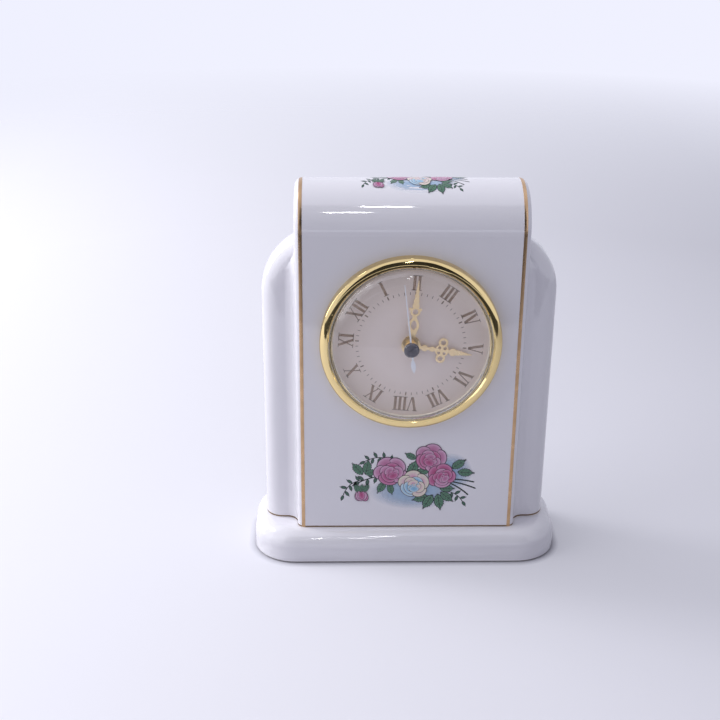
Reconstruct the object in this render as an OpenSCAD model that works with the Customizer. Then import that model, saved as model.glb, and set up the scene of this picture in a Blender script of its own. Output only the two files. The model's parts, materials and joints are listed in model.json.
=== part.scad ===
// Slip-cast ceramic mantel clock with a press-in quartz insert.
// Millimetres, +Z up. The dial faces -Y. The origin is on the table, midway along the clock's
// whole depth, from the lens to the back of the plinth.

/* [Plinth] */
// Width of the plinth
plinth_w = 160; // [154:1:190]
// Depth of the plinth
plinth_d = 61; // [56:1:80]
// Height of the plinth
plinth_h = 17; // [15:0.5:26]
// Radius of the plinth's corners in plan
plinth_corner_r = 22; // [16:0.5:26]
// Radius of the bullnose round the plinth's top
plinth_nose = 8; // [6:0.5:10]
// Width of the wiped bevel round the foot
foot_bevel = 0.8; // [0.4:0.1:2]

/* [Wings] */
// Width over both wings
wing_w = 148; // [136:1:150]
// Thickness of the wings, front to back
wing_t = 23; // [20:0.5:30]
// Height of a wing's straight side above the plinth
wing_side_h = 125.5; // [100:0.5:132]
// Radius of a wing's shoulder
shoulder_r = 31.5; // [26:0.5:38]
// Radius of the edges round a wing
wing_round = 9; // [6:0.5:9.5]
// Radius of the cove between a wing's front and the pylon
cove_r = 6; // [3:0.5:7]
// Height above the shoulder's spring at which a cove starts to run out
cove_run = 12.5; // [8:0.5:13]

/* [Pylon] */
// Width of the pylon between the wings
pylon_w = 114; // [106:1:124]
// Depth of the pylon, which is the diameter of its roll top
pylon_d = 45; // [40:0.5:52]
// Height of the flat panel above the plinth, up to the roll top
panel_h = 159; // [152:0.5:180]
// Radius of the edges along the panel
pylon_round = 4; // [2:0.5:6]

/* [Casting] */
// Thickness of the fired ceramic
wall = 5; // [4:0.5:6]
// Least radius of the hollow's edges
hollow_round = 1.5; // [1:0.25:2]
// Radius of the round opening in the back
access_r = 34; // [24:0.5:36]
// Radius of the softened edge of that opening
access_edge = 1.5; // [0.5:0.25:2.5]

/* [Insert] */
// Height of the dial's centre above the plinth
dial_h = 105; // [70:0.5:112]
// Turn of the insert in its hole, anticlockwise as seen from the front
insert_turn = 55.8; // [0:0.1:359]
// Width of the bezel's flange on the panel, past the hole
bezel_flange = 3; // [2:0.1:5]
// Radius of the roll along the bezel's outer edge
bezel_roll = 3.3; // [2.4:0.1:3.6]
// Width of the lip over the lens's rim
lip_w = 1.2; // [1:0.1:1.6]
// Thickness of that lip
lip_t = 1.1; // [0.8:0.1:1.4]
// Bevel round the bezel's eye
lip_bevel = 0.7; // [0.3:0.05:0.7]
// Thickness of the lens
lens_t = 1.4; // [1:0.1:2]
// Rise of the lens's flat crown above its shoulder
lens_crown = 2; // [1.6:0.1:2.2]
// Room between the centre cap and the lens
lens_clear = 0.7; // [0.5:0.1:2]
// Height of the spacer ring between the dial and the lens
spacer_h = 1.6; // [1.2:0.1:3]
// Thickness of the dial plate
dial_t = 0.8; // [0.4:0.1:1.2]
// How far the cup's web stands in front of the panel
cup_front = 1.8; // [1.2:0.1:2.6]
// Step from the panel's hole in to the bezel's recess
seat_step = 0.3; // [0.2:0.05:0.6]
// Thickness of the cup's web behind the dial
cup_web = 1.6; // [1:0.1:2.5]
// Thickness of the cup's skirt
cup_wall = 1.5; // [1:0.1:2.5]
// Depth of the cup's skirt behind its web
cup_depth = 13.6; // [10:0.1:18]
// Radial thickness of the rubber grip ring
grip_t = 2; // [1.4:0.1:3]
// Width of the grip ring along the hole
grip_w = 4; // [3:0.1:5]
// Depth of the grip ring behind the panel's face
grip_inset = 0.4; // [0.2:0.1:1]
// Height of the grip ring's ribs
grip_rib = 0.8; // [0.4:0.1:1]
// Height of the bead that keeps the ring on the cup
cup_bead = 1; // [0.6:0.1:1.4]

/* [Movement] */
// Length of the battery over its terminal
battery_l = 50.5; // [49.5:0.5:54]
// Radius of the battery
battery_r = 7.1; // [5:0.1:7.5]
// Radius of the battery's terminal
terminal_r = 2.7; // [2:0.1:3]
// Length of the battery's terminal
terminal_l = 1.2; // [0.8:0.1:1.6]
// Room at each end of the battery for a contact
contact_space = 1.35; // [1:0.05:2]
// Thickness of the contact strip
contact_t = 0.4; // [0.2:0.05:0.6]
// Width of the contact strip
contact_w = 8; // [5:0.5:10]
// Thickness of the movement's housing
housing_wall = 1.4; // [1.2:0.1:2]
// Radius of the housing's corners
housing_corner_r = 4; // [2:0.5:6]
// Thickness of the wall between the battery and the train
bay_wall = 1.2; // [0.8:0.1:1.6]
// Thickness of a wheel
wheel_t = 0.8; // [0.6:0.05:1]
// Gap between wheels that pass each other
layer_gap = 0.5; // [0.4:0.05:0.8]
// Gap that leaves room for a hub
hub_gap = 1; // [0.8:0.05:1.4]
// Thickness of the train plate
plate_t = 0.8; // [0.6:0.05:1.2]
// Thickness of the motor's stator
stator_t = 1; // [0.6:0.05:1.2]
// Room behind the train for the circuit board
board_space = 1.7; // [1.5:0.05:2.5]
// Thickness of the circuit board
board_t = 1; // [0.6:0.1:1.2]
// Distance from the centre to the third wheel's arbor
third_d = 9; // [8.5:0.1:10]
// Distance from the centre to the intermediate wheel's arbor
inter_d = 8.75; // [8.4:0.05:9.5]
// Distance from the intermediate wheel to the rotor
rotor_d = 7.92; // [7.6:0.02:8.4]
// Distance from the centre to the minute wheel's arbor
minute_d = 9.6; // [9.4:0.1:10]
// Radius of the rotor's magnet
magnet_r = 3; // [2.4:0.1:3.2]
// Radius of the coil's end flanges
flange_r = 3.1; // [2.6:0.1:3.3]
// Length of the coil between its flanges
coil_l = 20; // [14:0.5:22]
// Radius of the setting knob
knob_r = 6; // [4:0.5:7]
// Thickness of the setting knob
knob_t = 4; // [3:0.5:6]
// Grooves round the setting knob
knob_grooves = 24; // [12:1:30]

/* [Arbors] */
// Radius of the seconds arbor
second_r = 0.7; // [0.6:0.02:0.72]
// Radius of the minute pipe
minute_r = 1.6; // [1.4:0.05:1.8]
// Radius of the hour pipe
hour_r = 2.4; // [2.3:0.05:2.6]
// Radius of the threaded bush
bush_r = 3.3; // [3.1:0.05:3.5]
// Radius of the fixing nut
nut_r = 4.6; // [4.2:0.1:5]
// Thickness of the fixing nut
nut_t = 1; // [0.8:0.1:1.4]
// Radius of a train arbor
arbor_r = 0.65; // [0.55:0.01:0.7]
// Radius of the pivots at the ends of an arbor
pivot_r = 0.4; // [0.3:0.05:0.5]
// Length of a pivot
pivot_l = 0.7; // [0.5:0.05:0.8]
// Radius of the setting shaft
setting_r = 1.25; // [1:0.05:1.4]

/* [Hands] */
// Hour shown
show_h = 5; // [0:1:11]
// Minute shown
show_m = 10; // [0:1:59]
// Second shown
show_s = 8.15; // [0:0.05:59.95]
// Thickness of the hour and minute hands
hand_t = 0.4; // [0.3:0.05:0.6]
// Gap between one hand and the next
hand_gap = 0.6; // [0.5:0.05:0.8]
// Height of the collet on the minute hand's hub
collet_h = 3.2; // [1:0.1:3.4]
// Radius of that collet
collet_r = 2.9; // [2.4:0.1:3.2]
// Radius of the hour and minute hands' hubs
hand_hub_r = 4.7; // [4:0.1:5]
// Gap from the hour hand's tip to the spacer ring
hour_tip_gap = 8.7; // [6:0.1:11]
// Gap from the minute hand's tip to the spacer ring
minute_tip_gap = 4.9; // [2:0.1:6]
// Gap from the second hand's tip to the spacer ring
second_tip_gap = 5.5; // [5.3:0.1:9]
// Length of the second hand's tail
second_tail_l = 12.4; // [9:0.1:14]
// Radius of the centre cap
cap_r = 3.75; // [3:0.05:4.5]
// Thickness of the centre cap
cap_t = 1.7; // [1.4:0.1:2]
// Bevel round the centre cap's front
cap_bevel = 0.5; // [0.2:0.1:0.8]

/* [Fits] */
// Running clearance of a shaft in its bore, on the radius
run_fit = 0.05; // [0.02:0.01:0.1]
// Clearance between pieces that drop into each other, on the radius
drop_fit = 0.1; // [0.05:0.05:0.3]
// End shake of an arbor between its bearings
end_shake = 0.1; // [0.05:0.05:0.2]
// Clearance round the battery
battery_fit = 0.3; // [0.2:0.05:0.6]
// Clearance between the movement's corners and the cup
cup_fit = 0.55; // [0.3:0.05:1]

/* [Hidden] */
$fn = 96;

// How far a cutter runs past the face that it opens
cut = 1;

// Heights of the case
shoulder_z = plinth_h + wing_side_h;
roll_z = plinth_h + panel_h;
dial_z = plinth_h + dial_h;

// The movement's housing is as wide as the battery with its contacts
movement_w = battery_l + 2 * (contact_space + housing_wall);
half_w = movement_w / 2;
inner_w = half_w - housing_wall;
corner_reach = (half_w - housing_corner_r) * sqrt(2) + housing_corner_r;

// Radii of the insert, from the movement outwards
cup_bore_r = corner_reach + cup_fit;
cup_r = cup_bore_r + cup_wall;
hole_r = cup_r + grip_t;
bezel_r = hole_r + bezel_flange;
seat_r = hole_r - seat_step;
rim_r = seat_r - drop_fit;
lip_r = seat_r - lip_w;
eye_r = lip_r - drop_fit - lens_t;
hour_hand_l = eye_r - hour_tip_gap;
minute_hand_l = eye_r - minute_tip_gap;
second_hand_l = eye_r - second_tip_gap;

// Places along the dial's axis, counted forwards from the panel
dial_front = cup_front + dial_t;
rim_z = dial_front + spacer_h;
lip_z = rim_z + lens_t;
bezel_h = lip_z + lip_t;
housing_face = cup_front - cup_web;
front_in = housing_face - housing_wall;
hour_z = front_in - layer_gap - wheel_t;
minute_z = hour_z - layer_gap - wheel_t;
centre_z = minute_z - layer_gap - wheel_t;
third_z = centre_z - hub_gap - wheel_t;
plate_z = third_z - hub_gap - plate_t;
seconds_z = plate_z - layer_gap - wheel_t;
stator_z = seconds_z - layer_gap - stator_t;
inter_z = stator_z - hub_gap - wheel_t;
back_in = inter_z - board_space;
housing_back_z = back_in - housing_wall;
nut_z = dial_front + nut_t;
hour_hand_z = nut_z + hand_gap;
minute_hand_z = hour_hand_z + hand_t + hand_gap;
collet_z = minute_hand_z + hand_t + collet_h;
second_hand_z = collet_z + hand_gap;
cap_z = second_hand_z + hand_t;
lens_dome = cap_z + cap_t + lens_clear - rim_z;
lens_shoulder = lens_dome - lens_crown;

// The plinth's middle lies behind the origin, because the lens reaches out past the plinth
lens_front = pylon_d / 2 + lip_z + lens_dome;
setback = (max(lens_front, plinth_d / 2) - plinth_d / 2) / 2;

// The battery lies along the bottom of the housing
bay_room = 0.9;
battery_y = -(inner_w - bay_room - battery_r);
battery_z = front_in - battery_fit - battery_r;
bay_top = battery_y + battery_r + 2 * battery_fit;
train_floor = bay_top + bay_wall;

// Tooth counts of the train, which steps once a second, and of the motion work
rotor_teeth = 12;
inter_teeth = 60;
inter_leaves = 10;
seconds_teeth = 60;
seconds_leaves = 8;
third_teeth = 60;
third_leaves = 8;
centre_teeth = 64;
cannon_teeth = 12;
minute_teeth = 36;
minute_leaves = 10;
hour_teeth = 40;
setting_teeth = 10;

// Tooth form: depths in modules, and half widths as shares of the tooth pitch
dedendum = 1.2;
addendum = 0.9;
root_share = 0.27;
pitch_share = 0.19;
tip_share = 0.07;

// A pair's tooth module follows from its centre distance
function pair_module(distance, a, b) = 2 * distance / (a + b);
third_module = pair_module(third_d, third_teeth, seconds_leaves);
centre_module = pair_module(third_d, centre_teeth, third_leaves);
inter_module = pair_module(inter_d, seconds_teeth, inter_leaves);
rotor_module = pair_module(rotor_d, inter_teeth, rotor_teeth);
cannon_module = pair_module(minute_d, minute_teeth, cannon_teeth);
hour_module = pair_module(minute_d, hour_teeth, minute_leaves);
setting_module = cannon_module;

// Directions from one arbor to the next, and the arbors' places
third_dir = 150;
inter_dir = 60;
rotor_dir = 70;
minute_dir = 0;
setting_dir = -10;
function polar(distance, angle) = [distance * cos(angle), distance * sin(angle)];
third_at = polar(third_d, third_dir);
inter_at = polar(inter_d, inter_dir);
rotor_at = inter_at + polar(rotor_d, rotor_dir);
minute_at = polar(minute_d, minute_dir);
setting_d = setting_module * (minute_teeth + setting_teeth) / 2;
setting_at = minute_at + polar(setting_d, setting_dir);

// Tail of the cannon pinion, which carries the centre wheel
tail_step = 0.4;
tail_r = minute_r - tail_step;

// The motor's coil lies along the top of the housing
coil_y = inner_w - flange_r - battery_fit;
coil_z = stator_z + stator_t / 2;
core_w = 2.4;
flange_t = 0.8;
spool_r = 1.9;
stator_bar = 4.3;
stator_end = coil_l / 2 + flange_t + drop_fit + core_w;
magnet_gap = 0.5;

// Posts that carry the train plate, and the posts on it that carry the stator
post_r = 1.5;
plate_posts = [[-15, train_floor + 3.2], [-15, 14], [21, 12]];
stator_post_r = 1.2;
stator_posts = [[-10, 14.4], [11.9, 12.2]];
plate_margin = 2.4;

// Angles of the hands, clockwise from the twelve
second_angle = show_s * 6;
minute_angle = (show_m + show_s / 60) * 6;
hour_angle = (show_h + (show_m + show_s / 60) / 60) * 30;

// Colours
glaze = "#f2f0ee";
gold = "#d9b45c";
ivory = "#d8cbbb";
resin = "#26262a";
acetal = "#f4f1e6";
steel = "#c8ccd2";
copper = "#b86a35";

// Stands the clock over the origin
module stand() {
    translate([0, setback, 0]) children();
}

// Puts a piece in the dial's frame: x to the right, y up and z forwards, from the panel's face
module at_dial() {
    translate([0, -pylon_d / 2, dial_z]) rotate([90, 0, 0]) children();
}

// Puts a piece in the insert's own frame, in which the twelve is up
module in_insert() {
    stand() at_dial() rotate([0, 0, insert_turn]) children();
}

// Rectangle with round corners, about its middle
module rounded_rect(w, d, r) {
    square([w - 2 * r, d], center = true);
    square([w, d - 2 * r], center = true);
    for (x = [-1, 1], y = [-1, 1])
        translate([x * (w / 2 - r), y * (d / 2 - r)]) circle(r);
}

// Part of a round slab with rounded rims, swept from +X about Z
module slab_sweep(reach, t, edge, sweep) {
    rotate_extrude(angle = sweep) intersection() {
        rounded_rect(2 * reach, t, edge);
        translate([0, -t / 2]) square([reach, t]);
    }
}

// Half section of the plinth: a bullnose above and a bevel below
module nosed_section(reach, h, nose, bevel) {
    difference() {
        union() {
            square([reach, h - nose]);
            square([reach - nose, h]);
            translate([reach - nose, h - nose]) circle(nose);
        }
        if (bevel > 0)
            translate([reach, 0]) rotate(45) square(bevel * sqrt(2), center = true);
    }
}

// Slab with round corners in plan and one section all round
module nosed_slab(w, d, h, corner, nose, bevel) {
    rotate([90, 0, 90]) linear_extrude(w - 2 * corner, center = true)
        for (m = [0, 1]) mirror([m, 0]) nosed_section(d / 2, h, nose, bevel);
    rotate([90, 0, 0]) linear_extrude(d - 2 * corner, center = true)
        for (m = [0, 1]) mirror([m, 0]) nosed_section(w / 2, h, nose, bevel);
    for (mx = [0, 1], my = [0, 1]) mirror([mx, 0, 0]) mirror([0, my, 0])
        translate([w / 2 - corner, d / 2 - corner]) rotate_extrude(angle = 90)
            nosed_section(corner, h, nose, bevel);
}

// Both wings as one slab with round shoulders, shrunk all round for the hollow
module wing_form(inset, edge) {
    t = wing_t - 2 * inset;
    translate([0, 0, -cut]) linear_extrude(shoulder_z + cut)
        rounded_rect(wing_w - 2 * inset, t, edge);
    for (m = [0, 1]) mirror([m, 0, 0])
        translate([wing_w / 2 - shoulder_r, 0, shoulder_z]) rotate([90, 0, 0])
            slab_sweep(shoulder_r - inset, t, edge, 90);
}

// The pylon with its roll top, shrunk all round for the hollow
module pylon_form(inset, edge) {
    w = pylon_w - 2 * inset;
    d = pylon_d - 2 * inset;
    translate([0, 0, -cut]) linear_extrude(roll_z + cut) rounded_rect(w, d, edge);
    translate([0, 0, roll_z]) rotate([90, 0, 90]) slab_sweep(d / 2, w, edge, 180);
}

// Section of a cove: x away from the pylon and y off the wing, sunk a little into both
module cove_section() {
    sink = 0.05;
    translate([-sink, -sink]) difference() {
        translate([-cut, -cut]) square(cove_r + cut);
        translate([cove_r, cove_r]) circle(cove_r);
    }
}

// Coves up the front of both wings, which turn back into the shoulders and run out there
module coves() {
    turn_z = shoulder_z + cove_run;
    for (m = [0, 1]) mirror([m, 0, 0])
        translate([-pylon_w / 2, -wing_t / 2, 0]) {
            translate([0, 0, plinth_h - cut]) linear_extrude(turn_z - plinth_h + cut)
                rotate(180) cove_section();
            translate([0, wing_round, turn_z]) rotate([0, -90, 0]) rotate(-90)
                rotate_extrude(angle = 90) translate([wing_round, 0]) cove_section();
        }
}

// Everything above the table
module above_table() {
    intersection() {
        children();
        translate([-plinth_w, -plinth_d, 0]) cube([2 * plinth_w, 2 * plinth_d, 2 * roll_z]);
    }
}

module case_body() {
    nose_in = max(plinth_nose - wall, hollow_round);
    color(glaze) stand() difference() {
        union() {
            nosed_slab(plinth_w, plinth_d, plinth_h, plinth_corner_r, plinth_nose, foot_bevel);
            above_table() wing_form(0, wing_round);
            above_table() pylon_form(0, pylon_round);
            coves();
        }
        translate([0, 0, -cut]) nosed_slab(plinth_w - 2 * wall, plinth_d - 2 * wall,
            plinth_h - wall + cut, plinth_corner_r - wall, nose_in, 0);
        wing_form(wall, max(wing_round - wall, hollow_round));
        pylon_form(wall, hollow_round);
        at_dial() translate([0, 0, -wall - cut]) cylinder(r = hole_r, h = wall + 2 * cut);
        at_dial() translate([0, 0, -pylon_d]) access_cutter();
    }
}

// The opening in the back, with a soft outer edge
module access_cutter() {
    translate([0, 0, -cut]) cylinder(r = access_r, h = wall + 2 * cut);
    rotate_extrude() difference() {
        translate([0, -cut]) square([access_r + access_edge, access_edge + cut]);
        translate([access_r + access_edge, access_edge]) circle(access_edge);
    }
}

module bezel() {
    side_h = bezel_h - bezel_roll;
    roll_at = bezel_r - bezel_roll;
    color(gold) in_insert() rotate_extrude() difference() {
        union() {
            translate([roll_at, side_h]) intersection() {
                circle(bezel_roll);
                square(bezel_roll);
            }
            polygon([[lip_r, 0], [bezel_r, 0], [bezel_r, side_h], [roll_at, bezel_h],
                [lip_r + lip_bevel, bezel_h], [lip_r, bezel_h - lip_bevel]]);
        }
        translate([0, -cut]) square([seat_r, lip_z + cut]);
    }
}

// Section of the lens's dome, grown outwards: a flat crown that meets a round shoulder
module dome_section(grow) {
    shoulder_at = eye_r - lens_shoulder;
    crown_r = (pow(shoulder_at, 2) + pow(lens_dome, 2) - pow(lens_shoulder, 2)) / (2 * lens_crown);
    crown_at = lens_dome - crown_r;
    touch = shoulder_at * crown_r / (crown_r - lens_shoulder);
    translate([shoulder_at, 0]) circle(lens_shoulder + grow);
    square([shoulder_at, lens_shoulder + grow]);
    intersection() {
        translate([0, crown_at]) circle(crown_r + grow, $fn = 720);
        square([touch * (crown_r + grow) / crown_r, lens_dome + grow]);
    }
}

module lens() {
    color("#e8eef2", 0.3) in_insert() translate([0, 0, rim_z]) rotate_extrude() {
        intersection() {
            difference() {
                dome_section(lens_t);
                dome_section(0);
            }
            square([rim_r, lens_dome + lens_t + cut]);
        }
        translate([eye_r, 0]) square([rim_r - eye_r, lens_t]);
    }
}

module spacer_ring() {
    color(gold) in_insert() translate([0, 0, dial_front]) ring(rim_r, eye_r, spacer_h);
}

module dial_plate() {
    color(ivory) in_insert() translate([0, 0, cup_front])
        ring(rim_r, bush_r + drop_fit, dial_t);
}

module ring(outer, inner, h) {
    difference() {
        cylinder(r = outer, h = h);
        translate([0, 0, -cut]) cylinder(r = inner, h = h + 2 * cut);
    }
}

module insert_cup() {
    bead_z = -grip_inset - grip_w - cup_bead;
    color(resin) in_insert() {
        translate([0, 0, housing_face]) ring(rim_r, bush_r + drop_fit, cup_web);
        translate([0, 0, housing_face - cup_depth]) ring(cup_r, cup_bore_r, cup_depth);
        translate([0, 0, bead_z]) ring(cup_r + cup_bead, cup_r - cup_wall / 2, cup_bead);
    }
}

// Rubber band with three ribs that grip the hole
module grip_ring() {
    ribs = 3;
    root = 0.2;
    pitch = grip_w / ribs;
    band_r = hole_r - grip_rib - run_fit;
    color("#1c1c1e") in_insert() translate([0, 0, -grip_inset - grip_w]) rotate_extrude() {
        translate([cup_r, 0]) square([band_r - cup_r, grip_w]);
        for (i = [0 : ribs - 1])
            translate([band_r, i * pitch])
                polygon([[-root, 0], [0, 0], [grip_rib, pitch / 2], [0, pitch], [-root, pitch]]);
    }
}

// Outline of the movement's housing and of the room inside it
module housing_outline() {
    rounded_rect(movement_w, movement_w, housing_corner_r);
}

module housing_room() {
    rounded_rect(2 * inner_w, 2 * inner_w, housing_corner_r - housing_wall);
}

// Walls of one half of the housing, with the wall over the battery
module housing_walls(h) {
    linear_extrude(h) {
        difference() {
            housing_outline();
            housing_room();
        }
        translate([-inner_w - housing_wall / 2, bay_top])
            square([2 * inner_w + housing_wall, bay_wall]);
    }
}

// Blind bearing for a pivot, cut towards +Z from a wall's inner face
module bearing(at) {
    translate([at.x, at.y, -cut]) cylinder(r = pivot_r + run_fit, h = cut + pivot_l);
}

module housing_front() {
    color(resin) in_insert() difference() {
        union() {
            translate([0, 0, front_in]) linear_extrude(housing_wall) housing_outline();
            translate([0, 0, plate_z]) housing_walls(front_in - plate_z);
            translate([0, 0, front_in]) cylinder(r = bush_r, h = nut_z - front_in);
            for (at = plate_posts)
                translate([at.x, at.y, plate_z + plate_t])
                    cylinder(r = post_r, h = front_in - plate_z - plate_t);
        }
        translate([0, 0, front_in - cut])
            cylinder(r = hour_r + run_fit, h = nut_z - front_in + 2 * cut);
        for (at = [third_at, minute_at, setting_at]) translate([0, 0, front_in]) bearing(at);
    }
}

module housing_back() {
    window_w = 2 * (inner_w - contact_space);
    window_low = battery_y - battery_r - battery_fit;
    color(resin) in_insert() difference() {
        union() {
            translate([0, 0, housing_back_z]) linear_extrude(housing_wall) housing_outline();
            translate([0, 0, back_in]) housing_walls(plate_z - back_in);
        }
        for (at = [[0, 0], inter_at, rotor_at])
            translate([0, 0, back_in]) mirror([0, 0, 1]) bearing(at);
        translate([setting_at.x, setting_at.y, housing_back_z - cut])
            cylinder(r = setting_r + run_fit, h = housing_wall + 2 * cut);
        translate([-window_w / 2, window_low, housing_back_z - cut])
            cube([window_w, bay_top - window_low, housing_wall + 2 * cut]);
    }
}

// Plate that carries the front half of the train before it and the motor behind it
module train_plate() {
    left = plate_posts[0].x - plate_margin;
    right = plate_posts[2].x + plate_margin;
    low = train_floor + drop_fit;
    high = coil_y - flange_r - battery_fit;
    color("#8d9196") in_insert() difference() {
        union() {
            translate([left, low, plate_z]) cube([right - left, high - low, plate_t]);
            for (at = stator_posts)
                translate([at.x, at.y, stator_z + stator_t])
                    cylinder(r = stator_post_r, h = plate_z - stator_z - stator_t);
        }
        for (at = [third_at, minute_at, inter_at, rotor_at])
            translate([at.x, at.y, plate_z - cut])
                cylinder(r = pivot_r + run_fit, h = plate_t + 2 * cut);
        translate([0, 0, plate_z - cut]) cylinder(r = second_r + run_fit, h = plate_t + 2 * cut);
        translate([setting_at.x, setting_at.y, plate_z - cut])
            cylinder(r = setting_r + run_fit, h = plate_t + 2 * cut);
    }
}

// Round nut with two flats for the spanner
module fixing_nut() {
    flat = 0.25;
    color(gold) in_insert() translate([0, 0, dial_front]) intersection() {
        ring(nut_r, bush_r + run_fit, nut_t);
        translate([-nut_r, flat - nut_r, -cut])
            cube([2 * nut_r, 2 * (nut_r - flat), nut_t + 2 * cut]);
    }
}

// Leaf between two points on Y, bounded by two arcs
module leaf(from, to, w) {
    l = to - from;
    r = (l * l + w * w) / (4 * w);
    translate([0, (from + to) / 2]) intersection() {
        translate([r - w / 2, 0]) circle(r, $fn = 180);
        translate([w / 2 - r, 0]) circle(r, $fn = 180);
    }
}

// Slender point that runs out from a width to a tip
module point(from, to, w) {
    tip = 0.3;
    polygon([[-w / 2, from], [w / 2, from], [tip / 2, to], [-tip / 2, to]]);
}

// Row of scallops along Y that get smaller or larger, as the edge of a hand
module scallops(from, to, w_from, w_to, count) {
    step = (to - from) / count;
    for (i = [0 : count - 1])
        translate([0, from + (i + 0.5) * step])
            circle((w_from + (w_to - w_from) * i / (count - 1)) / 2);
}

// Pierced serpentine hour hand: a scalloped neck, a clover of loops across it and a lance
module hour_hand() {
    share = hour_hand_l / 30;
    clover_y = 15.2 * share;
    loop_x = 4.2 * share;
    loop_r = 2.3 * share;
    eye = 1.25 * share;
    heart_r = 3.3 * share;
    pierce = 0.75 * share;
    pierce_at = 1.35 * share;
    waist = 1.5 * share;
    neck = 3.2 * share;
    lance = 3.9 * share;
    lance_low = 19.4 * share;
    lance_end = 27 * share;
    bite = 0.6 * share;
    color(gold) in_insert() translate([0, 0, hour_hand_z]) rotate([0, 0, -hour_angle])
        linear_extrude(hand_t) difference() {
            union() {
                circle(hand_hub_r);
                translate([-waist / 2, 0]) square([waist, lance_low + bite]);
                scallops(hand_hub_r, clover_y - heart_r + bite, neck, neck - bite, 2);
                translate([0, clover_y]) circle(heart_r);
                for (s = [-1, 1]) translate([s * loop_x, clover_y]) circle(loop_r);
                scallops(lance_low, lance_end, lance, waist, 3);
                point(lance_low + bite, hour_hand_l, lance - bite);
            }
            circle(hour_r);
            for (s = [-1, 1]) {
                translate([s * loop_x, clover_y]) circle(eye);
                for (t = [-1, 1])
                    translate([s * pierce_at, clover_y + t * pierce_at]) circle(pierce);
            }
        }
}

// Pierced serpentine minute hand: a scalloped neck, two loops in line and a lance
module minute_hand() {
    share = minute_hand_l / 34;
    low_loop = [6.2, 15.6] * share;
    low_eye = [8.8, 13.9] * share;
    loop_w = 5.2 * share;
    eye_w = 2.7 * share;
    crown_y = 18.2 * share;
    crown_r = 2.4 * share;
    crown_eye = 1.4 * share;
    cusp_r = 0.7 * share;
    waist = 2.2 * share;
    neck = 3 * share;
    lance = 3.4 * share;
    lance_low = crown_y + crown_r;
    lance_end = 30 * share;
    bite = 0.6 * share;
    color(gold) in_insert() translate([0, 0, minute_hand_z]) rotate([0, 0, -minute_angle]) {
        ring(collet_r, minute_r, hand_t + collet_h);
        linear_extrude(hand_t) difference() {
            union() {
                circle(hand_hub_r);
                scallops(hand_hub_r - bite, low_eye[0], neck, neck + bite, 2);
                leaf(low_loop[0], low_loop[1], loop_w);
                translate([-waist / 2, low_eye[1]])
                    square([waist, crown_y - crown_r - low_eye[1] + bite]);
                translate([0, crown_y]) circle(crown_r);
                for (s = [-1, 1])
                    translate([s * crown_r, crown_y + crown_r / 2]) circle(cusp_r);
                scallops(lance_low - bite, lance_end, lance, lance / 2, 4);
                point(lance_low - bite, minute_hand_l, lance - bite);
            }
            circle(minute_r);
            leaf(low_eye[0], low_eye[1], eye_w);
            translate([0, crown_y]) circle(crown_eye);
        }
    }
}

// Straight second hand with a spade tail
module second_hand() {
    stem = 0.9;
    hub_r = cap_r - 1;
    spade = 2.3;
    spade_l = 7.5;
    color("#e9ebf2") in_insert() translate([0, 0, second_hand_z]) rotate([0, 0, -second_angle])
        linear_extrude(hand_t) difference() {
            union() {
                circle(hub_r);
                point(0, second_hand_l, stem);
                translate([-stem / 2, -second_tail_l + spade_l / 2])
                    square([stem, second_tail_l - spade_l / 2]);
                leaf(-second_tail_l, spade_l - second_tail_l, spade);
            }
            circle(second_r);
        }
}

module centre_cap() {
    socket = cap_t - 2 * cap_bevel;
    color("#33343c") in_insert() translate([0, 0, cap_z]) difference() {
        rotate_extrude() polygon([[0, 0], [cap_r, 0], [cap_r, cap_t - cap_bevel],
            [cap_r - cap_bevel, cap_t], [0, cap_t]]);
        translate([0, 0, -cut]) cylinder(r = second_r, h = socket + cut);
    }
}

// Toothed outline with a tooth on +X. Each flank runs root, pitch circle, tip.
module gear_outline(teeth, tooth_module) {
    pitch_r = teeth * tooth_module / 2;
    step = 360 / teeth;
    root_r = pitch_r - dedendum * tooth_module;
    tip_r = pitch_r + addendum * tooth_module;
    flank = [[-root_share, root_r], [-pitch_share, pitch_r], [-tip_share, tip_r],
             [tip_share, tip_r], [pitch_share, pitch_r], [root_share, root_r]];
    polygon([for (i = [0 : teeth - 1], f = flank) polar(f[1], (i + f[0]) * step)]);
}

// A gear whose tooth points along an angle, or whose gap does
module gear(teeth, tooth_module, along, h, gap = false) {
    rotate([0, 0, along + (gap ? 180 / teeth : 0)]) linear_extrude(h) gear_outline(teeth, tooth_module);
}

// Arbor with a pivot at each end, held between two bearing faces
module arbor(low, high) {
    translate([0, 0, low + end_shake]) cylinder(r = arbor_r, h = high - low - 2 * end_shake);
    translate([0, 0, low + end_shake - pivot_l])
        cylinder(r = pivot_r, h = high - low - 2 * end_shake + 2 * pivot_l);
}

module hour_wheel() {
    pipe_top = hour_hand_z + hand_t + layer_gap / 2;
    color(acetal) in_insert() difference() {
        union() {
            translate([0, 0, hour_z]) gear(hour_teeth, hour_module, minute_dir, wheel_t);
            translate([0, 0, hour_z]) cylinder(r = hour_r, h = pipe_top - hour_z);
        }
        translate([0, 0, hour_z - cut])
            cylinder(r = minute_r + run_fit, h = pipe_top - hour_z + 2 * cut);
    }
}

module cannon_pinion() {
    pipe_top = collet_z;
    tail_z = centre_z - layer_gap;
    color(acetal) in_insert() difference() {
        union() {
            translate([0, 0, minute_z]) gear(cannon_teeth, cannon_module, minute_dir, wheel_t);
            translate([0, 0, minute_z]) cylinder(r = minute_r, h = pipe_top - minute_z);
            translate([0, 0, tail_z]) cylinder(r = tail_r, h = minute_z - tail_z);
        }
        translate([0, 0, tail_z - cut])
            cylinder(r = second_r + run_fit, h = pipe_top - tail_z + 2 * cut);
    }
}

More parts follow.
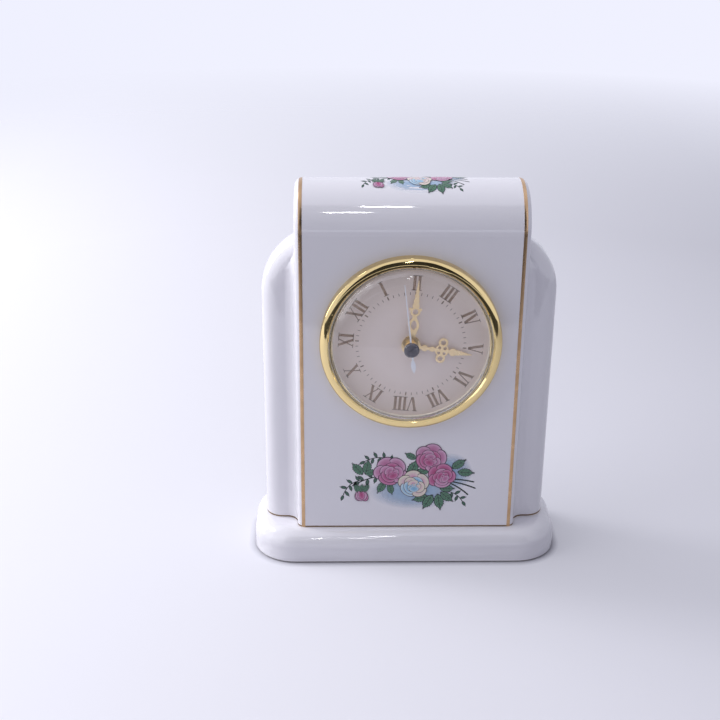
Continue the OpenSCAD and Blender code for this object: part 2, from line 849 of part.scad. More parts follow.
module minute_wheel() {
    collar_r = arbor_r + 0.3;
    color(acetal) in_insert() translate([minute_at.x, minute_at.y, 0]) {
        arbor(plate_z + plate_t, front_in);
        translate([0, 0, minute_z])
            gear(minute_teeth, cannon_module, minute_dir + 180, wheel_t, gap = true);
        translate([0, 0, hour_z])
            gear(minute_leaves, hour_module, minute_dir + 180, wheel_t, gap = true);
        translate([0, 0, minute_z + wheel_t]) cylinder(r = collar_r, h = layer_gap);
    }
}

// Wheel on the cannon pinion's tail, which slips there when the hands are set
module centre_wheel() {
    hub_wall = 1;
    bore = tail_r + run_fit;
    hub_r = bore + hub_wall;
    hub_low = layer_gap / 2;
    color(acetal) in_insert() difference() {
        union() {
            translate([0, 0, centre_z]) gear(centre_teeth, centre_module, third_dir, wheel_t);
            translate([0, 0, centre_z - hub_low]) cylinder(r = hub_r, h = wheel_t + 2 * hub_low);
        }
        translate([0, 0, centre_z - hub_low - cut])
            cylinder(r = bore, h = wheel_t + 2 * hub_low + 2 * cut);
    }
}

module third_wheel() {
    color(acetal) in_insert() translate([third_at.x, third_at.y, 0]) {
        arbor(plate_z + plate_t, front_in);
        translate([0, 0, third_z]) gear(third_teeth, third_module, third_dir + 180, wheel_t);
        translate([0, 0, third_z + wheel_t])
            gear(third_leaves, centre_module, third_dir + 180, hub_gap + wheel_t, gap = true);
    }
}

module seconds_wheel() {
    tip = cap_z + cap_t - 2 * cap_bevel;
    low = back_in + end_shake;
    color(steel) in_insert() {
        translate([0, 0, low]) cylinder(r = second_r, h = tip - low);
        translate([0, 0, low - pivot_l]) cylinder(r = pivot_r, h = pivot_l + cut);
        translate([0, 0, seconds_z]) gear(seconds_teeth, inter_module, inter_dir, wheel_t);
        translate([0, 0, third_z])
            gear(seconds_leaves, third_module, third_dir, wheel_t, gap = true);
    }
}

module intermediate_wheel() {
    color(acetal) in_insert() translate([inter_at.x, inter_at.y, 0]) {
        arbor(back_in, plate_z);
        translate([0, 0, inter_z]) gear(inter_teeth, rotor_module, rotor_dir, wheel_t);
        translate([0, 0, seconds_z])
            gear(inter_leaves, inter_module, inter_dir + 180, wheel_t, gap = true);
    }
}

module rotor() {
    magnet_t = stator_t + layer_gap;
    color("#5a5d63") in_insert() translate([rotor_at.x, rotor_at.y, 0]) {
        arbor(back_in, plate_z);
        translate([0, 0, stator_z - layer_gap / 2]) cylinder(r = magnet_r, h = magnet_t);
        translate([0, 0, inter_z])
            gear(rotor_teeth, rotor_module, rotor_dir + 180, wheel_t, gap = true);
    }
}

// Soft-iron loop: a bar round the rotor and the coil's core, joined at both ends
module stator() {
    low = rotor_at.y - stator_bar;
    color("#9a9ca2") in_insert() translate([0, 0, stator_z]) linear_extrude(stator_t) difference() {
        union() {
            translate([-stator_end, low])
                square([2 * stator_end, 2 * stator_bar]);
            translate([-stator_end, coil_y - core_w / 2])
                square([2 * stator_end, core_w]);
            for (s = [-1, 1])
                translate([s * (stator_end - core_w / 2) - core_w / 2, low])
                    square([core_w, coil_y + core_w / 2 - low]);
        }
        translate(rotor_at) circle(magnet_r + magnet_gap);
    }
}

// Puts a piece along the coil's axis, about its middle
module along_coil() {
    in_insert() translate([0, coil_y, coil_z]) rotate([0, 90, 0]) children();
}

module coil_bobbin() {
    color(acetal) along_coil() difference() {
        union() {
            cylinder(r = spool_r, h = coil_l, center = true);
            for (s = [-1, 1])
                translate([0, 0, s * (coil_l + flange_t) / 2])
                    cylinder(r = flange_r, h = flange_t, center = true);
        }
        cube([stator_t + 2 * run_fit, core_w + 2 * run_fit, coil_l + 4 * flange_t], center = true);
    }
}

module coil_winding() {
    below_flange = 0.4;
    winding_r = flange_r - below_flange;
    color(copper) along_coil() difference() {
        cylinder(r = winding_r, h = coil_l, center = true);
        cylinder(r = spool_r, h = coil_l + 2 * cut, center = true);
    }
}

// Board on the back of the housing, with its chip under a drop of resin
module circuit_board() {
    board_w = 17;
    board_h = 18;
    chip_r = 3;
    chip_t = 1.1;
    chip_margin = 1;
    color("#2f6b45") in_insert()
        translate([-inner_w + drop_fit, train_floor + drop_fit, back_in]) {
            cube([board_w, board_h, board_t]);
            translate([board_w - chip_r - chip_margin, board_h / 2, 0])
                cylinder(r = chip_r, h = board_t + chip_t);
        }
}

// Crystal in its drawn can, lying on the board
module quartz_crystal() {
    can_r = 1;
    can_l = 6;
    inset = [4, 5];
    color(steel) in_insert()
        translate([inset.x - inner_w, inset.y + train_floor, back_in + board_t + can_r + run_fit])
            rotate([-90, 0, 0]) cylinder(r = can_r, h = can_l);
}

module battery() {
    color("#b9bcc2") in_insert() translate([0, battery_y, battery_z]) rotate([0, 90, 0]) {
        translate([0, 0, -battery_l / 2]) cylinder(r = battery_r, h = battery_l - terminal_l);
        cylinder(r = terminal_r, h = battery_l / 2);
    }
}

// Bent strip between the battery's end and the housing
module contact(side) {
    color(steel) in_insert() translate([0, battery_y, battery_z]) {
        outer = inner_w;
        inner = battery_l / 2 + drop_fit;
        translate([side > 0 ? outer - contact_t : -outer, -contact_w / 2, -contact_w / 2])
            cube([contact_t, contact_w, contact_w]);
        translate([side > 0 ? inner : -outer + contact_t / 2, 0, 0]) rotate([0, 90, 0])
            cylinder(r = terminal_r, h = outer - inner - contact_t / 2);
    }
}

module contact_positive() {
    contact(1);
}

module contact_negative() {
    contact(-1);
}

// Setting knob: a pinion in the minute wheel, a shaft through the back and a grooved head
module setting_knob() {
    groove_r = 0.5;
    head_z = housing_back_z - layer_gap - knob_t;
    mesh = setting_dir + 180;
    // The minute wheel's nearest tooth or gap decides where this pinion's gap points
    wheel_step = 360 / minute_teeth;
    wheel_phase = setting_dir - (minute_dir + 180 + wheel_step / 2);
    turn = (wheel_phase - wheel_step * round(wheel_phase / wheel_step)) * minute_teeth / setting_teeth;
    color("#3a3a40") in_insert() translate([setting_at.x, setting_at.y, 0]) {
        translate([0, 0, head_z]) cylinder(r = setting_r, h = front_in - end_shake - head_z);
        translate([0, 0, front_in - end_shake - cut]) cylinder(r = pivot_r, h = cut + pivot_l);
        translate([0, 0, minute_z])
            gear(setting_teeth, setting_module, mesh + turn, wheel_t, gap = true);
        translate([0, 0, head_z]) difference() {
            cylinder(r = knob_r, h = knob_t);
            for (i = [0 : knob_grooves - 1])
                rotate([0, 0, i * 360 / knob_grooves]) translate([knob_r, 0, -cut])
                    cylinder(r = groove_r, h = knob_t + 2 * cut, $fn = 16);
        }
    }
}

case_body();
bezel();
lens();
spacer_ring();
dial_plate();
insert_cup();
grip_ring();
housing_front();
housing_back();
train_plate();
fixing_nut();
hour_hand();
minute_hand();
second_hand();
centre_cap();
hour_wheel();
cannon_pinion();
minute_wheel();
centre_wheel();
third_wheel();
seconds_wheel();
intermediate_wheel();
rotor();
stator();
coil_bobbin();
coil_winding();
circuit_board();
quartz_crystal();
battery();
contact_positive();
contact_negative();
setting_knob();
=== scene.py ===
# %% [markdown]
# # A glazed ceramic mantel clock
# The clock is a slip-cast body under a white glaze, with a quartz insert pressed into its panel.
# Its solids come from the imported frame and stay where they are. This lesson gives each solid its
# finish, and adds what a brush, a transfer or a printing pad puts on the real one: the figures on
# the dial, the gold lines and the sprays of roses.

# %% Load the frame
import json
import math

import bpy
from mathutils import Matrix, Vector


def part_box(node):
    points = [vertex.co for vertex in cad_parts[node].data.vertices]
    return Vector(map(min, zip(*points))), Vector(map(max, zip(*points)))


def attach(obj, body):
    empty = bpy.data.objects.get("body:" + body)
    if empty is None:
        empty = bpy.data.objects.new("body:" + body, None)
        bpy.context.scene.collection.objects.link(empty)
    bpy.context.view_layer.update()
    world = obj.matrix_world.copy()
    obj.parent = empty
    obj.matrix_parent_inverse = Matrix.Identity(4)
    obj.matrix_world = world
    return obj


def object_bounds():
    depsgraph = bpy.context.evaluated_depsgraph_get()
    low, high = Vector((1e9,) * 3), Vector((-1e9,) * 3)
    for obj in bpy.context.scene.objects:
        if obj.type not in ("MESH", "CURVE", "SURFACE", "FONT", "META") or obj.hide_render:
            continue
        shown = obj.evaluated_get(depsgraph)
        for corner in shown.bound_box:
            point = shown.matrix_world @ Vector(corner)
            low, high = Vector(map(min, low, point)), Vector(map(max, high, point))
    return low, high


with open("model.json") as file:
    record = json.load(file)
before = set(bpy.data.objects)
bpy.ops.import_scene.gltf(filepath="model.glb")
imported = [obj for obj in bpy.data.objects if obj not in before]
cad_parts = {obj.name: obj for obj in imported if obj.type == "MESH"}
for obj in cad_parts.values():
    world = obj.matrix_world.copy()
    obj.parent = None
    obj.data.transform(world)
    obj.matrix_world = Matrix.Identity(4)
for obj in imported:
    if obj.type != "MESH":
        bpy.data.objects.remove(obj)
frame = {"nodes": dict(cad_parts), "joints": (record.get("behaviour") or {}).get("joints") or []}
nodes = frame["nodes"]
cad_low, cad_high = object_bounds()
print("solids:", len(nodes), "from", cad_low, "to", cad_high)

# %% [markdown]
# Most sizes are read from the boxes of the solids and from the joints, so the painted pieces stay
# on the body if it is packed again. A box doesn't show a radius, so a few sizes of the drawing are
# repeated here, in metres like everything else in Blender.

# %% Sizes
MM = 0.001
body_low, body_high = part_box("case_body")
joint_places = {joint["name"]: Vector(joint["pos_m"]) for joint in frame["joints"]}
dial_axis = joint_places["insert_turn"]
dial_front_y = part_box("dial_plate")[0].y
insert_turn = math.radians(55.8)
panel_y = dial_axis.y
plinth_h = 17 * MM
pylon_w = 114 * MM
pylon_d = 45 * MM
pylon_round = 4 * MM
wing_w = 148 * MM
wing_t = 23 * MM
wing_round = 9 * MM
cove_r = 6 * MM
roll_r = pylon_d / 2
roll_y = panel_y + roll_r
roll_z = body_high.z - roll_r
panel_h = roll_z - plinth_h
print("panel at", panel_y, "roll top from", roll_z)

# %% [markdown]
# Every finish is a small tree of shader nodes. By hand they are placed and linked in the Shader
# Editor. In code that takes a line for each value and each link, so two helpers shorten it: one
# feeds a node's inputs, where a socket given as the value becomes a link, and one adds a node and
# feeds it.

# %% Add and feed nodes


def feed(node, values):
    """Gives inputs their values. A socket as the value becomes a link."""
    for label, value in values.items():
        if isinstance(value, bpy.types.NodeSocket):
            node.id_data.links.new(value, node.inputs[label])
        else:
            node.inputs[label].default_value = value


def add_node(tree, kind, values, **settings):
    """Settings come before values, because they decide which sockets a node has."""
    node = tree.nodes.new("ShaderNode" + kind)
    for label, value in settings.items():
        setattr(node, label, value)
    feed(node, values)
    return node


print("node helpers:", feed.__name__, add_node.__name__)

# %% [markdown]
# Some steps come back in many finishes: the place of a point, a value stretched from one range to
# another, arithmetic with values or with vectors, and a bump. Each is a single node, so a function
# that returns the node's output is enough, and no group is needed.

# %% Steps that come back


def place_in(tree):
    """Object coordinates, which are metres of the clock's own frame."""
    return add_node(tree, "TexCoord", {}).outputs["Object"]


def stretch(tree, value, start, end, low=0.0, high=1.0):
    """A value that runs from start to end becomes one that runs from low to high."""
    limits = {"From Min": start, "From Max": end, "To Min": low, "To Max": high}
    return add_node(tree, "MapRange", {"Value": value, **limits}).outputs["Result"]


def arithmetic(tree, operation, first, second):
    return add_node(tree, "Math", {0: first, 1: second}, operation=operation).outputs["Value"]


def vector_step(tree, operation, *values):
    """One step of vector arithmetic. A length comes out as a value, and all else as a vector."""
    step = add_node(tree, "VectorMath", dict(enumerate(values)), operation=operation)
    return step.outputs["Value" if operation == "LENGTH" else "Vector"]


def bumped(tree, height, strength, depth):
    values = {"Height": height, "Strength": strength, "Distance": depth}
    return add_node(tree, "Bump", values).outputs["Normal"]


node_steps = (place_in, stretch, arithmetic, vector_step, bumped)
print("node steps:", [step.__name__ for step in node_steps])

# %% [markdown]
# Two effects come back in nearly every finish. The first is a soft mottle: fired, cast and plated
# surfaces are never one flat colour. The second is a fine grain for the bump. Each is a node group
# with named inputs, made once and placed in each material with values of its own. They read Object
# coordinates, so a scale of 100 gives spots of a centimetre.

# %% Groups for the mottle and the grain


def new_group(name, inputs, outputs):
    group = bpy.data.node_groups.new(name, "ShaderNodeTree")
    for label, kind, start in inputs:
        socket = group.interface.new_socket(label, in_out="INPUT", socket_type=kind)
        socket.default_value = start
    for label, kind in outputs:
        group.interface.new_socket(label, in_out="OUTPUT", socket_type=kind)
    return group, group.nodes.new("NodeGroupInput").outputs, group.nodes.new("NodeGroupOutput")


def make_mottle():
    group, given, made = new_group(
        "soft mottle",
        [
            ("Light", "NodeSocketColor", (0.8, 0.8, 0.8, 1)),
            ("Dark", "NodeSocketColor", (0.7, 0.7, 0.7, 1)),
            ("Scale", "NodeSocketFloat", 40.0),
            ("Smooth", "NodeSocketFloat", 0.2),
            ("Rough", "NodeSocketFloat", 0.4),
        ],
        [("Color", "NodeSocketColor"), ("Roughness", "NodeSocketFloat")],
    )
    spots = {"Vector": place_in(group), "Scale": given["Scale"], "Detail": 4}
    cloud = add_node(group, "TexNoise", spots).outputs["Fac"]
    colours = {"Factor": cloud, "A": given["Light"], "B": given["Dark"]}
    blend = add_node(group, "Mix", colours, data_type="RGBA")
    rough = stretch(group, cloud, 0, 1, given["Smooth"], given["Rough"])
    feed(made, {"Color": blend.outputs["Result"], "Roughness": rough})
    return group


def make_grain():
    group, given, made = new_group(
        "fine grain",
        [("Scale", "NodeSocketFloat", 800.0), ("Coarse", "NodeSocketFloat", 0.3)],
        [("Height", "NodeSocketFloat")],
    )
    pattern = {"Vector": place_in(group), "Scale": given["Scale"]}
    fine = add_node(group, "TexNoise", pattern).outputs["Fac"]
    pits = add_node(group, "TexVoronoi", pattern).outputs["Distance"]
    blend = add_node(group, "Mix", {"Factor": given["Coarse"], "A": fine, "B": pits})
    feed(made, {"Height": blend.outputs["Result"]})
    return group


mottle_group = make_mottle()
grain_group = make_grain()
print("groups:", mottle_group.name, "and", grain_group.name)

# %% [markdown]
# A finish starts from the Principled shader with the mottle on its colour and roughness, and with
# the grain on its normal where the surface has one. What is the same all over, such as the metallic
# value or the coat, is set on the shader itself.

# %% A finish with mottle and grain


def new_material(name):
    material = bpy.data.materials.new(name)
    material.use_nodes = True
    return material


def shader_of(material):
    return material.node_tree.nodes["Principled BSDF"]


def add_mottle(tree, light, dark, scale, smooth, rough):
    values = {"Light": (*light, 1), "Dark": (*dark, 1), "Scale": scale, "Smooth": smooth, "Rough": rough}
    return add_node(tree, "Group", values, node_tree=mottle_group).outputs


def make_finish(name, light, dark, scale, smooth, rough, metallic=0.0):
    """Two colours, how fine their spots are, the two ends of the roughness, and how metallic it is."""
    material = new_material(name)
    mottle = add_mottle(material.node_tree, light, dark, scale, smooth, rough)
    mottled = {"Base Color": mottle["Color"], "Roughness": mottle["Roughness"]}
    feed(shader_of(material), {**mottled, "Metallic": metallic})
    return material


def add_grain(material, scale, coarse, strength, depth):
    tree = material.node_tree
    grain = add_node(tree, "Group", {"Scale": scale, "Coarse": coarse}, node_tree=grain_group)
    feed(shader_of(material), {"Normal": bumped(tree, grain.outputs["Height"], strength, depth)})


print("finish helpers:", make_finish.__name__, add_grain.__name__)

# %% [markdown]
# Some pieces have a second colour in places: the wiped rim of the foot, painted dark as painted shade,
# the rim of the dial, the band of the cell. A second material would need an edge between faces just
# there. A Mix node needs only a mask, so it is set between the shader and whatever fed its colour so far.

# %% Paint a second colour over a finish


def source_of(node, label):
    """The socket that feeds an input so far."""
    return node.inputs[label].links[0].from_socket


def paint_over(material, mask, colour):
    """Lays a second colour over a finish where the mask is one."""
    shader = shader_of(material)
    coats = {"Factor": mask, "A": source_of(shader, "Base Color"), "B": (*colour, 1)}
    over = add_node(material.node_tree, "Mix", coats, data_type="RGBA")
    feed(shader, {"Base Color": over.outputs["Result"]})


print("paint helper:", paint_over.__name__)

# %% [markdown]
# The glaze is a cool white with a hint of lilac, glossy, and very slightly wavy, as glaze is where it
# has run. On the plinth, where it pooled, a second bump adds longer ripples along the clock, which
# break up the streaks of the lamps. The rim under the foot is wiped before firing, so bare biscuit
# shows there; its colour is painted dark grey, as painted shade for the dark line under the foot. The
# height of a point, read from Object coordinates, decides where each of them is.

# %% Glaze
ripple_scale = (20, 160, 160)
ripple_depth = 0.75 * MM
pool_edge = 1 * MM
wiped_shaded_from = 1.0 * MM
wiped_shaded_to = 0.7 * MM
# Painted shade: the wiped rim is painted dark grey for the shadow line under the foot.
foot_rim_painted_shade = (0.26, 0.23, 0.22)
biscuit_rough = 0.85


def make_glaze():
    material = make_finish("white_glaze", (0.81, 0.795, 0.845), (0.78, 0.765, 0.82), 14, 0.02, 0.05)
    add_grain(material, scale=110, coarse=0.0, strength=0.05, depth=0.4 * MM)
    tree = material.node_tree
    shader = shader_of(material)
    place = place_in(tree)
    height = add_node(tree, "SeparateXYZ", {"Vector": place}).outputs["Z"]
    drawn_out = add_node(tree, "Mapping", {"Vector": place, "Scale": ripple_scale}).outputs["Vector"]
    runs = add_node(tree, "TexNoise", {"Vector": drawn_out, "Scale": 1, "Detail": 1}).outputs["Fac"]
    pooled = stretch(tree, height, plinth_h + pool_edge, plinth_h - pool_edge)
    grain_bump = source_of(shader, "Normal").node
    feed(grain_bump, {"Normal": bumped(tree, runs, pooled, ripple_depth)})
    # The band at the foot is bare and rough, and its dark grey is painted shade.
    wiped_and_shaded = stretch(tree, height, wiped_shaded_from, wiped_shaded_to)
    paint_over(material, wiped_and_shaded, foot_rim_painted_shade)
    rough = stretch(tree, wiped_and_shaded, 0, 1, source_of(shader, "Roughness"), biscuit_rough)
    feed(shader, {"Roughness": rough, "IOR": 1.65})
    return material


glaze = make_glaze()
print("finish:", glaze.name)

# %% [markdown]
# The bezel and the nut are gold plated and polished, the hands are plated with a softer shine, and the
# spacer ring under the lens is a matt gilt moulding. The lines on the glaze are burnished gold lustre,
# laid on by brush, so they are browner and less even. The one round the foot lies in a corner, where
# it is thin, and its gold is painted much darker there, as painted shade for the corner. They differ
# only in colour and shine, so one kind of finish makes them all.

# %% Gold
plated_gold = make_finish("plated_gold", (0.90, 0.73, 0.38), (0.79, 0.60, 0.27), 60, 0.04, 0.08, 1.0)
matt_gold = make_finish("matt_gold", (0.95, 0.88, 0.76), (0.90, 0.82, 0.68), 90, 0.5, 0.6)
hand_gold = make_finish("hand_gold", (0.88, 0.70, 0.43), (0.78, 0.59, 0.33), 220, 0.22, 0.36, 1.0)
lustre_gold = make_finish("lustre_gold", (0.73, 0.50, 0.29), (0.44, 0.28, 0.16), 160, 0.18, 0.40, 1.0)
add_grain(lustre_gold, scale=900, coarse=0.2, strength=0.15, depth=0.1 * MM)
# Painted shade: the foot line's gold is darkened for the corner it lies in.
foot_gold_painted_shade = make_finish("foot_gold_painted_shade", (0.34, 0.235, 0.14), (0.20, 0.135, 0.085), 160, 0.10, 0.25, 1.0)
golds = (plated_gold, matt_gold, hand_gold, lustre_gold, foot_gold_painted_shade)
print("finishes:", [gold.name for gold in golds])

# %% [markdown]
# The lens is clear acrylic. A solid of glass would throw a full shadow on the dial, because light
# that bends through it isn't followed from the lamps. The Alpha socket lets those shadow rays pass, and
# the rays that gather light for the dial too. Every other ray sees the clear, polished lens.

# %% Lens
lens_shade = 0.06


def make_lens_finish():
    material = new_material("clear_lens")
    tree = material.node_tree
    rays = add_node(tree, "LightPath", {}).outputs
    gathering = arithmetic(tree, "MAXIMUM", rays["Is Shadow Ray"], rays["Is Diffuse Ray"])
    clear = {
        "Base Color": (0.97, 0.975, 0.98, 1),
        "Roughness": 0.005,
        "IOR": 1.45,
        "Transmission Weight": 1.0,
        "Alpha": stretch(tree, gathering, 0, 1, 1.0, lens_shade),
    }
    feed(shader_of(material), clear)
    return material


clear_lens = make_lens_finish()
print("finish:", clear_lens.name)

# %% [markdown]
# The dial is printed on a thin plate: warm cream in the middle, and a shade darker towards its rim,
# under the figures. The distance from the dial's axis decides between the two, so the coordinates
# are first moved to that axis by a Mapping node and then flattened along it. The figures are printed
# in a bronze ink with a dull shine.

# %% Dial
dial_middle_r = 18 * MM
dial_rim_r = 38 * MM
dial_rim = (0.67, 0.565, 0.50)


def make_dial_finish():
    material = make_finish("dial_cream", (0.85, 0.745, 0.705), (0.81, 0.705, 0.665), 90, 0.32, 0.42)
    add_grain(material, scale=2500, coarse=0.0, strength=0.06, depth=0.05 * MM)
    tree = material.node_tree
    to_axis = (-dial_axis.x, 0, -dial_axis.z)
    centred = add_node(tree, "Mapping", {"Vector": place_in(tree), "Location": to_axis})
    flat = vector_step(tree, "MULTIPLY", centred.outputs["Vector"], (1, 0, 1))
    distance = vector_step(tree, "LENGTH", flat)
    paint_over(material, stretch(tree, distance, dial_middle_r, dial_rim_r), dial_rim)
    return material


dial_cream = make_dial_finish()
dial_ink = make_finish("dial_ink", (0.30, 0.212, 0.155), (0.25, 0.175, 0.128), 400, 0.2, 0.3, 0.65)
print("finishes:", dial_cream.name, dial_ink.name)

# %% [markdown]
# Behind the dial everything is plain workshop stuff: black and grey mouldings, white acetal wheels,
# nickelled strip, a lacquered board, a sintered magnet, enamelled wire and a cell in a plain sleeve.
# The wire's turns and the cell's band run along those pieces, so they get patterns of their own below.

# %% Mouldings and metals
black_resin = make_finish("black_resin", (0.035, 0.035, 0.038), (0.022, 0.022, 0.024), 120, 0.36, 0.5)
add_grain(black_resin, scale=1800, coarse=0.4, strength=0.25, depth=0.08 * MM)
knob_resin = make_finish("knob_resin", (0.05, 0.05, 0.055), (0.03, 0.03, 0.033), 200, 0.3, 0.45)
add_grain(knob_resin, scale=2200, coarse=0.3, strength=0.2, depth=0.06 * MM)
grip_rubber = make_finish("grip_rubber", (0.022, 0.022, 0.023), (0.014, 0.014, 0.015), 300, 0.7, 0.9)
add_grain(grip_rubber, scale=1500, coarse=0.5, strength=0.4, depth=0.1 * MM)
grey_resin = make_finish("grey_resin", (0.34, 0.35, 0.37), (0.28, 0.29, 0.31), 150, 0.35, 0.5)
add_grain(grey_resin, scale=1800, coarse=0.4, strength=0.2, depth=0.06 * MM)
white_acetal = make_finish("white_acetal", (0.82, 0.80, 0.72), (0.76, 0.73, 0.64), 300, 0.3, 0.42)
glow_depth = (0.4 * MM, 0.3 * MM, 0.2 * MM)
feed(shader_of(white_acetal), {"Subsurface Weight": 0.1, "Subsurface Radius": glow_depth})
nickel_strip = make_finish("nickel_strip", (0.70, 0.70, 0.69), (0.58, 0.58, 0.57), 250, 0.2, 0.36, 1.0)
soft_iron = make_finish("soft_iron", (0.46, 0.46, 0.47), (0.34, 0.34, 0.36), 300, 0.35, 0.5, 1.0)
magnet_grey = make_finish("magnet_grey", (0.17, 0.17, 0.19), (0.11, 0.11, 0.12), 500, 0.5, 0.65, 0.6)
cap_black = make_finish("cap_black", (0.060, 0.056, 0.085), (0.045, 0.042, 0.065), 400, 0.16, 0.26)
feed(shader_of(cap_black), {"Coat Weight": 0.6, "Coat Roughness": 0.08})
white_enamel = make_finish("white_enamel", (0.90, 0.92, 0.98), (0.84, 0.86, 0.93), 300, 0.25, 0.35)
print("finishes so far:", len(bpy.data.materials))

# %% [markdown]
# The winding is copper wire laid turn by turn along the coil. A Wave texture makes the turns, once
# the Mapping node has turned its X axis along the coil, which lies across the dial and so is turned
# with the insert. Modelled turns would be hundreds of rings that nobody sees through the housing.

# %% Winding
wire_scale = 900
wire_depth = 0.1 * MM


def insert_coordinates(tree):
    """Coordinates along the insert's own axes, measured from the dial's axis."""
    centred = vector_step(tree, "SUBTRACT", place_in(tree), dial_axis)
    turned = add_node(tree, "Mapping", {"Vector": centred, "Rotation": (0, insert_turn, 0)})
    return turned.outputs["Vector"]


def make_copper_turns():
    material = make_finish("copper_turns", (0.62, 0.27, 0.11), (0.50, 0.19, 0.07), 500, 0.25, 0.38, 1.0)
    tree = material.node_tree
    wire = {"Vector": insert_coordinates(tree), "Scale": wire_scale}
    turns = add_node(tree, "TexWave", wire, bands_direction="X")
    feed(shader_of(material), {"Normal": bumped(tree, turns.outputs["Fac"], 0.8, wire_depth)})
    return material


copper_turns = make_copper_turns()
print("finish:", copper_turns.name)

# %% [markdown]
# The cell in its bay can be seen through the opening in the back. Its plain dark sleeve ends in a
# copper band. The board beside it is lacquered green over its tracks. Both patterns use the insert's
# turned axes again, so they lie straight on those pieces.

# %% Cell and board
band_x = 12 * MM
band_edge = 0.2 * MM
band_copper = (0.52, 0.40, 0.24)
track_scale = 250
track_green = (0.10, 0.28, 0.10)


def make_cell_sleeve():
    material = make_finish("cell_sleeve", (0.10, 0.10, 0.11), (0.09, 0.09, 0.099), 200, 0.25, 0.37, 0.7)
    tree = material.node_tree
    along = add_node(tree, "SeparateXYZ", {"Vector": insert_coordinates(tree)}).outputs["X"]
    paint_over(material, stretch(tree, along, band_x, band_x + band_edge), band_copper)
    return material


def make_board():
    material = make_finish("board_lacquer", (0.045, 0.17, 0.075), (0.03, 0.12, 0.05), 300, 0.25, 0.4)
    tree = material.node_tree
    courses = {"Vector": insert_coordinates(tree), "Scale": track_scale, "Mortar Size": 0.06}
    tracks = add_node(tree, "TexBrick", courses).outputs["Fac"]
    paint_over(material, tracks, track_green)
    return material


cell_sleeve = make_cell_sleeve()
board_lacquer = make_board()
print("finishes:", cell_sleeve.name, board_lacquer.name)

# %% [markdown]
# Each solid of the frame now gets its finish. The solids themselves aren't touched: only the material
# in their slot changes.

# %% Dress the solids
solid_finishes = {
    "case_body": glaze,
    "bezel": plated_gold,
    "spacer_ring": matt_gold,
    "fixing_nut": plated_gold,
    "hour_hand": hand_gold,
    "minute_hand": hand_gold,
    "second_hand": white_enamel,
    "centre_cap": cap_black,
    "lens": clear_lens,
    "dial_plate": dial_cream,
    "insert_cup": black_resin,
    "grip_ring": grip_rubber,
    "housing_front": black_resin,
    "housing_back": black_resin,
    "train_plate": grey_resin,
    "setting_knob": knob_resin,
    "rotor": magnet_grey,
    "stator": soft_iron,
    "coil_winding": copper_turns,
    "circuit_board": board_lacquer,
    "quartz_crystal": nickel_strip,
    "battery": cell_sleeve,
    "contact_positive": nickel_strip,
    "contact_negative": nickel_strip,
}
for name, solid in nodes.items():
    solid.data.materials.clear()
    solid.data.materials.append(solid_finishes.get(name, white_acetal))
print("dressed:", len(nodes), "solids")

# %% [markdown]
# The printed and painted pieces are modelled with operators, which act on whatever is selected, and
# the frame leaves its solids selected. So a few small tools come first: they clear the selection, pick
# a single piece, and open it with chosen points, edges or faces selected.

# %% Tools for picking


def deselect():
    bpy.ops.object.select_all(action="DESELECT")


def pick(piece):
    deselect()
    piece.select_set(True)
    bpy.context.view_layer.objects.active = piece


def open_where(piece, test, kind="VERT"):
    """Edit mode, with only the points, edges or faces selected that pass the test."""
    pick(piece)
    bpy.ops.object.mode_set(mode="EDIT")
    bpy.ops.mesh.select_mode(type=kind)
    bpy.ops.mesh.select_all(action="DESELECT")
    bpy.ops.object.mode_set(mode="OBJECT")
    mesh = piece.data
    for part in {"VERT": mesh.vertices, "EDGE": mesh.edges, "FACE": mesh.polygons}[kind]:
        part.select = test(part)
    bpy.ops.object.mode_set(mode="EDIT")


def close_edit():
    bpy.ops.object.mode_set(mode="OBJECT")


print("selected after loading:", len(bpy.context.selected_objects))
deselect()
print("selected now:", len(bpy.context.selected_objects))

# %% [markdown]
# A piece's own place, turn and scale are made part of its mesh, so that Object coordinates are the
# same metres for all. Pieces that belong together and ride on one body are joined into one.

# %% Tools for placing and joining


def apply_place(piece):
    pick(piece)
    bpy.ops.object.transform_apply(location=True, rotation=True, scale=True)


def join(pieces, name):
    bpy.context.view_layer.update()
    deselect()
    for piece in pieces:
        piece.select_set(True)
    bpy.context.view_layer.objects.active = pieces[0]
    bpy.ops.object.join()
    whole = bpy.context.object
    whole.name = name
    whole.data.name = name
    apply_place(whole)
    return whole


print("tools:", apply_place.__name__, join.__name__)

# %% [markdown]
# The figures are Roman numerals with serifs. A text object could make them, but its letters depend on
# the fonts of the machine, so they are drawn from flat strokes. A plane whose top edge is slid
# sideways makes a slanting stroke, and a short bar across its end makes a serif.

# %% Strokes and serifs
figure_h = 7.6 * MM
serif_t = 0.34 * MM


def stroke(width, height, x, y, lean=0.0):
    """A flat stroke about a point, with its top edge slid sideways by lean."""
    deselect()
    bpy.ops.mesh.primitive_plane_add(size=1, location=(x, y, 0))
    flat = bpy.context.object
    flat.scale = (width, height, 1)
    apply_place(flat)
    open_where(flat, lambda point: point.co.y > y)
    bpy.ops.transform.translate(value=(lean, 0, 0))
    close_edit()
    return flat


def serif(x, side, width):
    """A short bar across the end of a stroke, at the top (1) or the foot (-1)."""
    return stroke(width, serif_t, x, side * (figure_h - serif_t) / 2)


print("figures:", figure_h, "high, serifs", serif_t)

# %% [markdown]
# The numerals need three letters. Each is drawn once, about the middle of the line it stands on, with
# the broad and the fine strokes of a pen. Its advance is the room it takes beside the next letter.

# %% Letters
thick = 1.3 * MM
thin = 0.5 * MM


def letter_i():
    ends = [serif(0, side, 2.5 * MM) for side in (1, -1)]
    return join([stroke(thick, figure_h, 0, 0), *ends], "letter_i")


def letter_v():
    spread = 1.75 * MM
    left = stroke(thick, figure_h, -0.1 * MM, 0, -spread)
    right = stroke(thin, figure_h, 0.2 * MM, 0, spread)
    ends = [serif(-spread, 1, 2.4 * MM), serif(spread + 0.2 * MM, 1, 1.8 * MM)]
    return join([left, right, *ends], "letter_v")


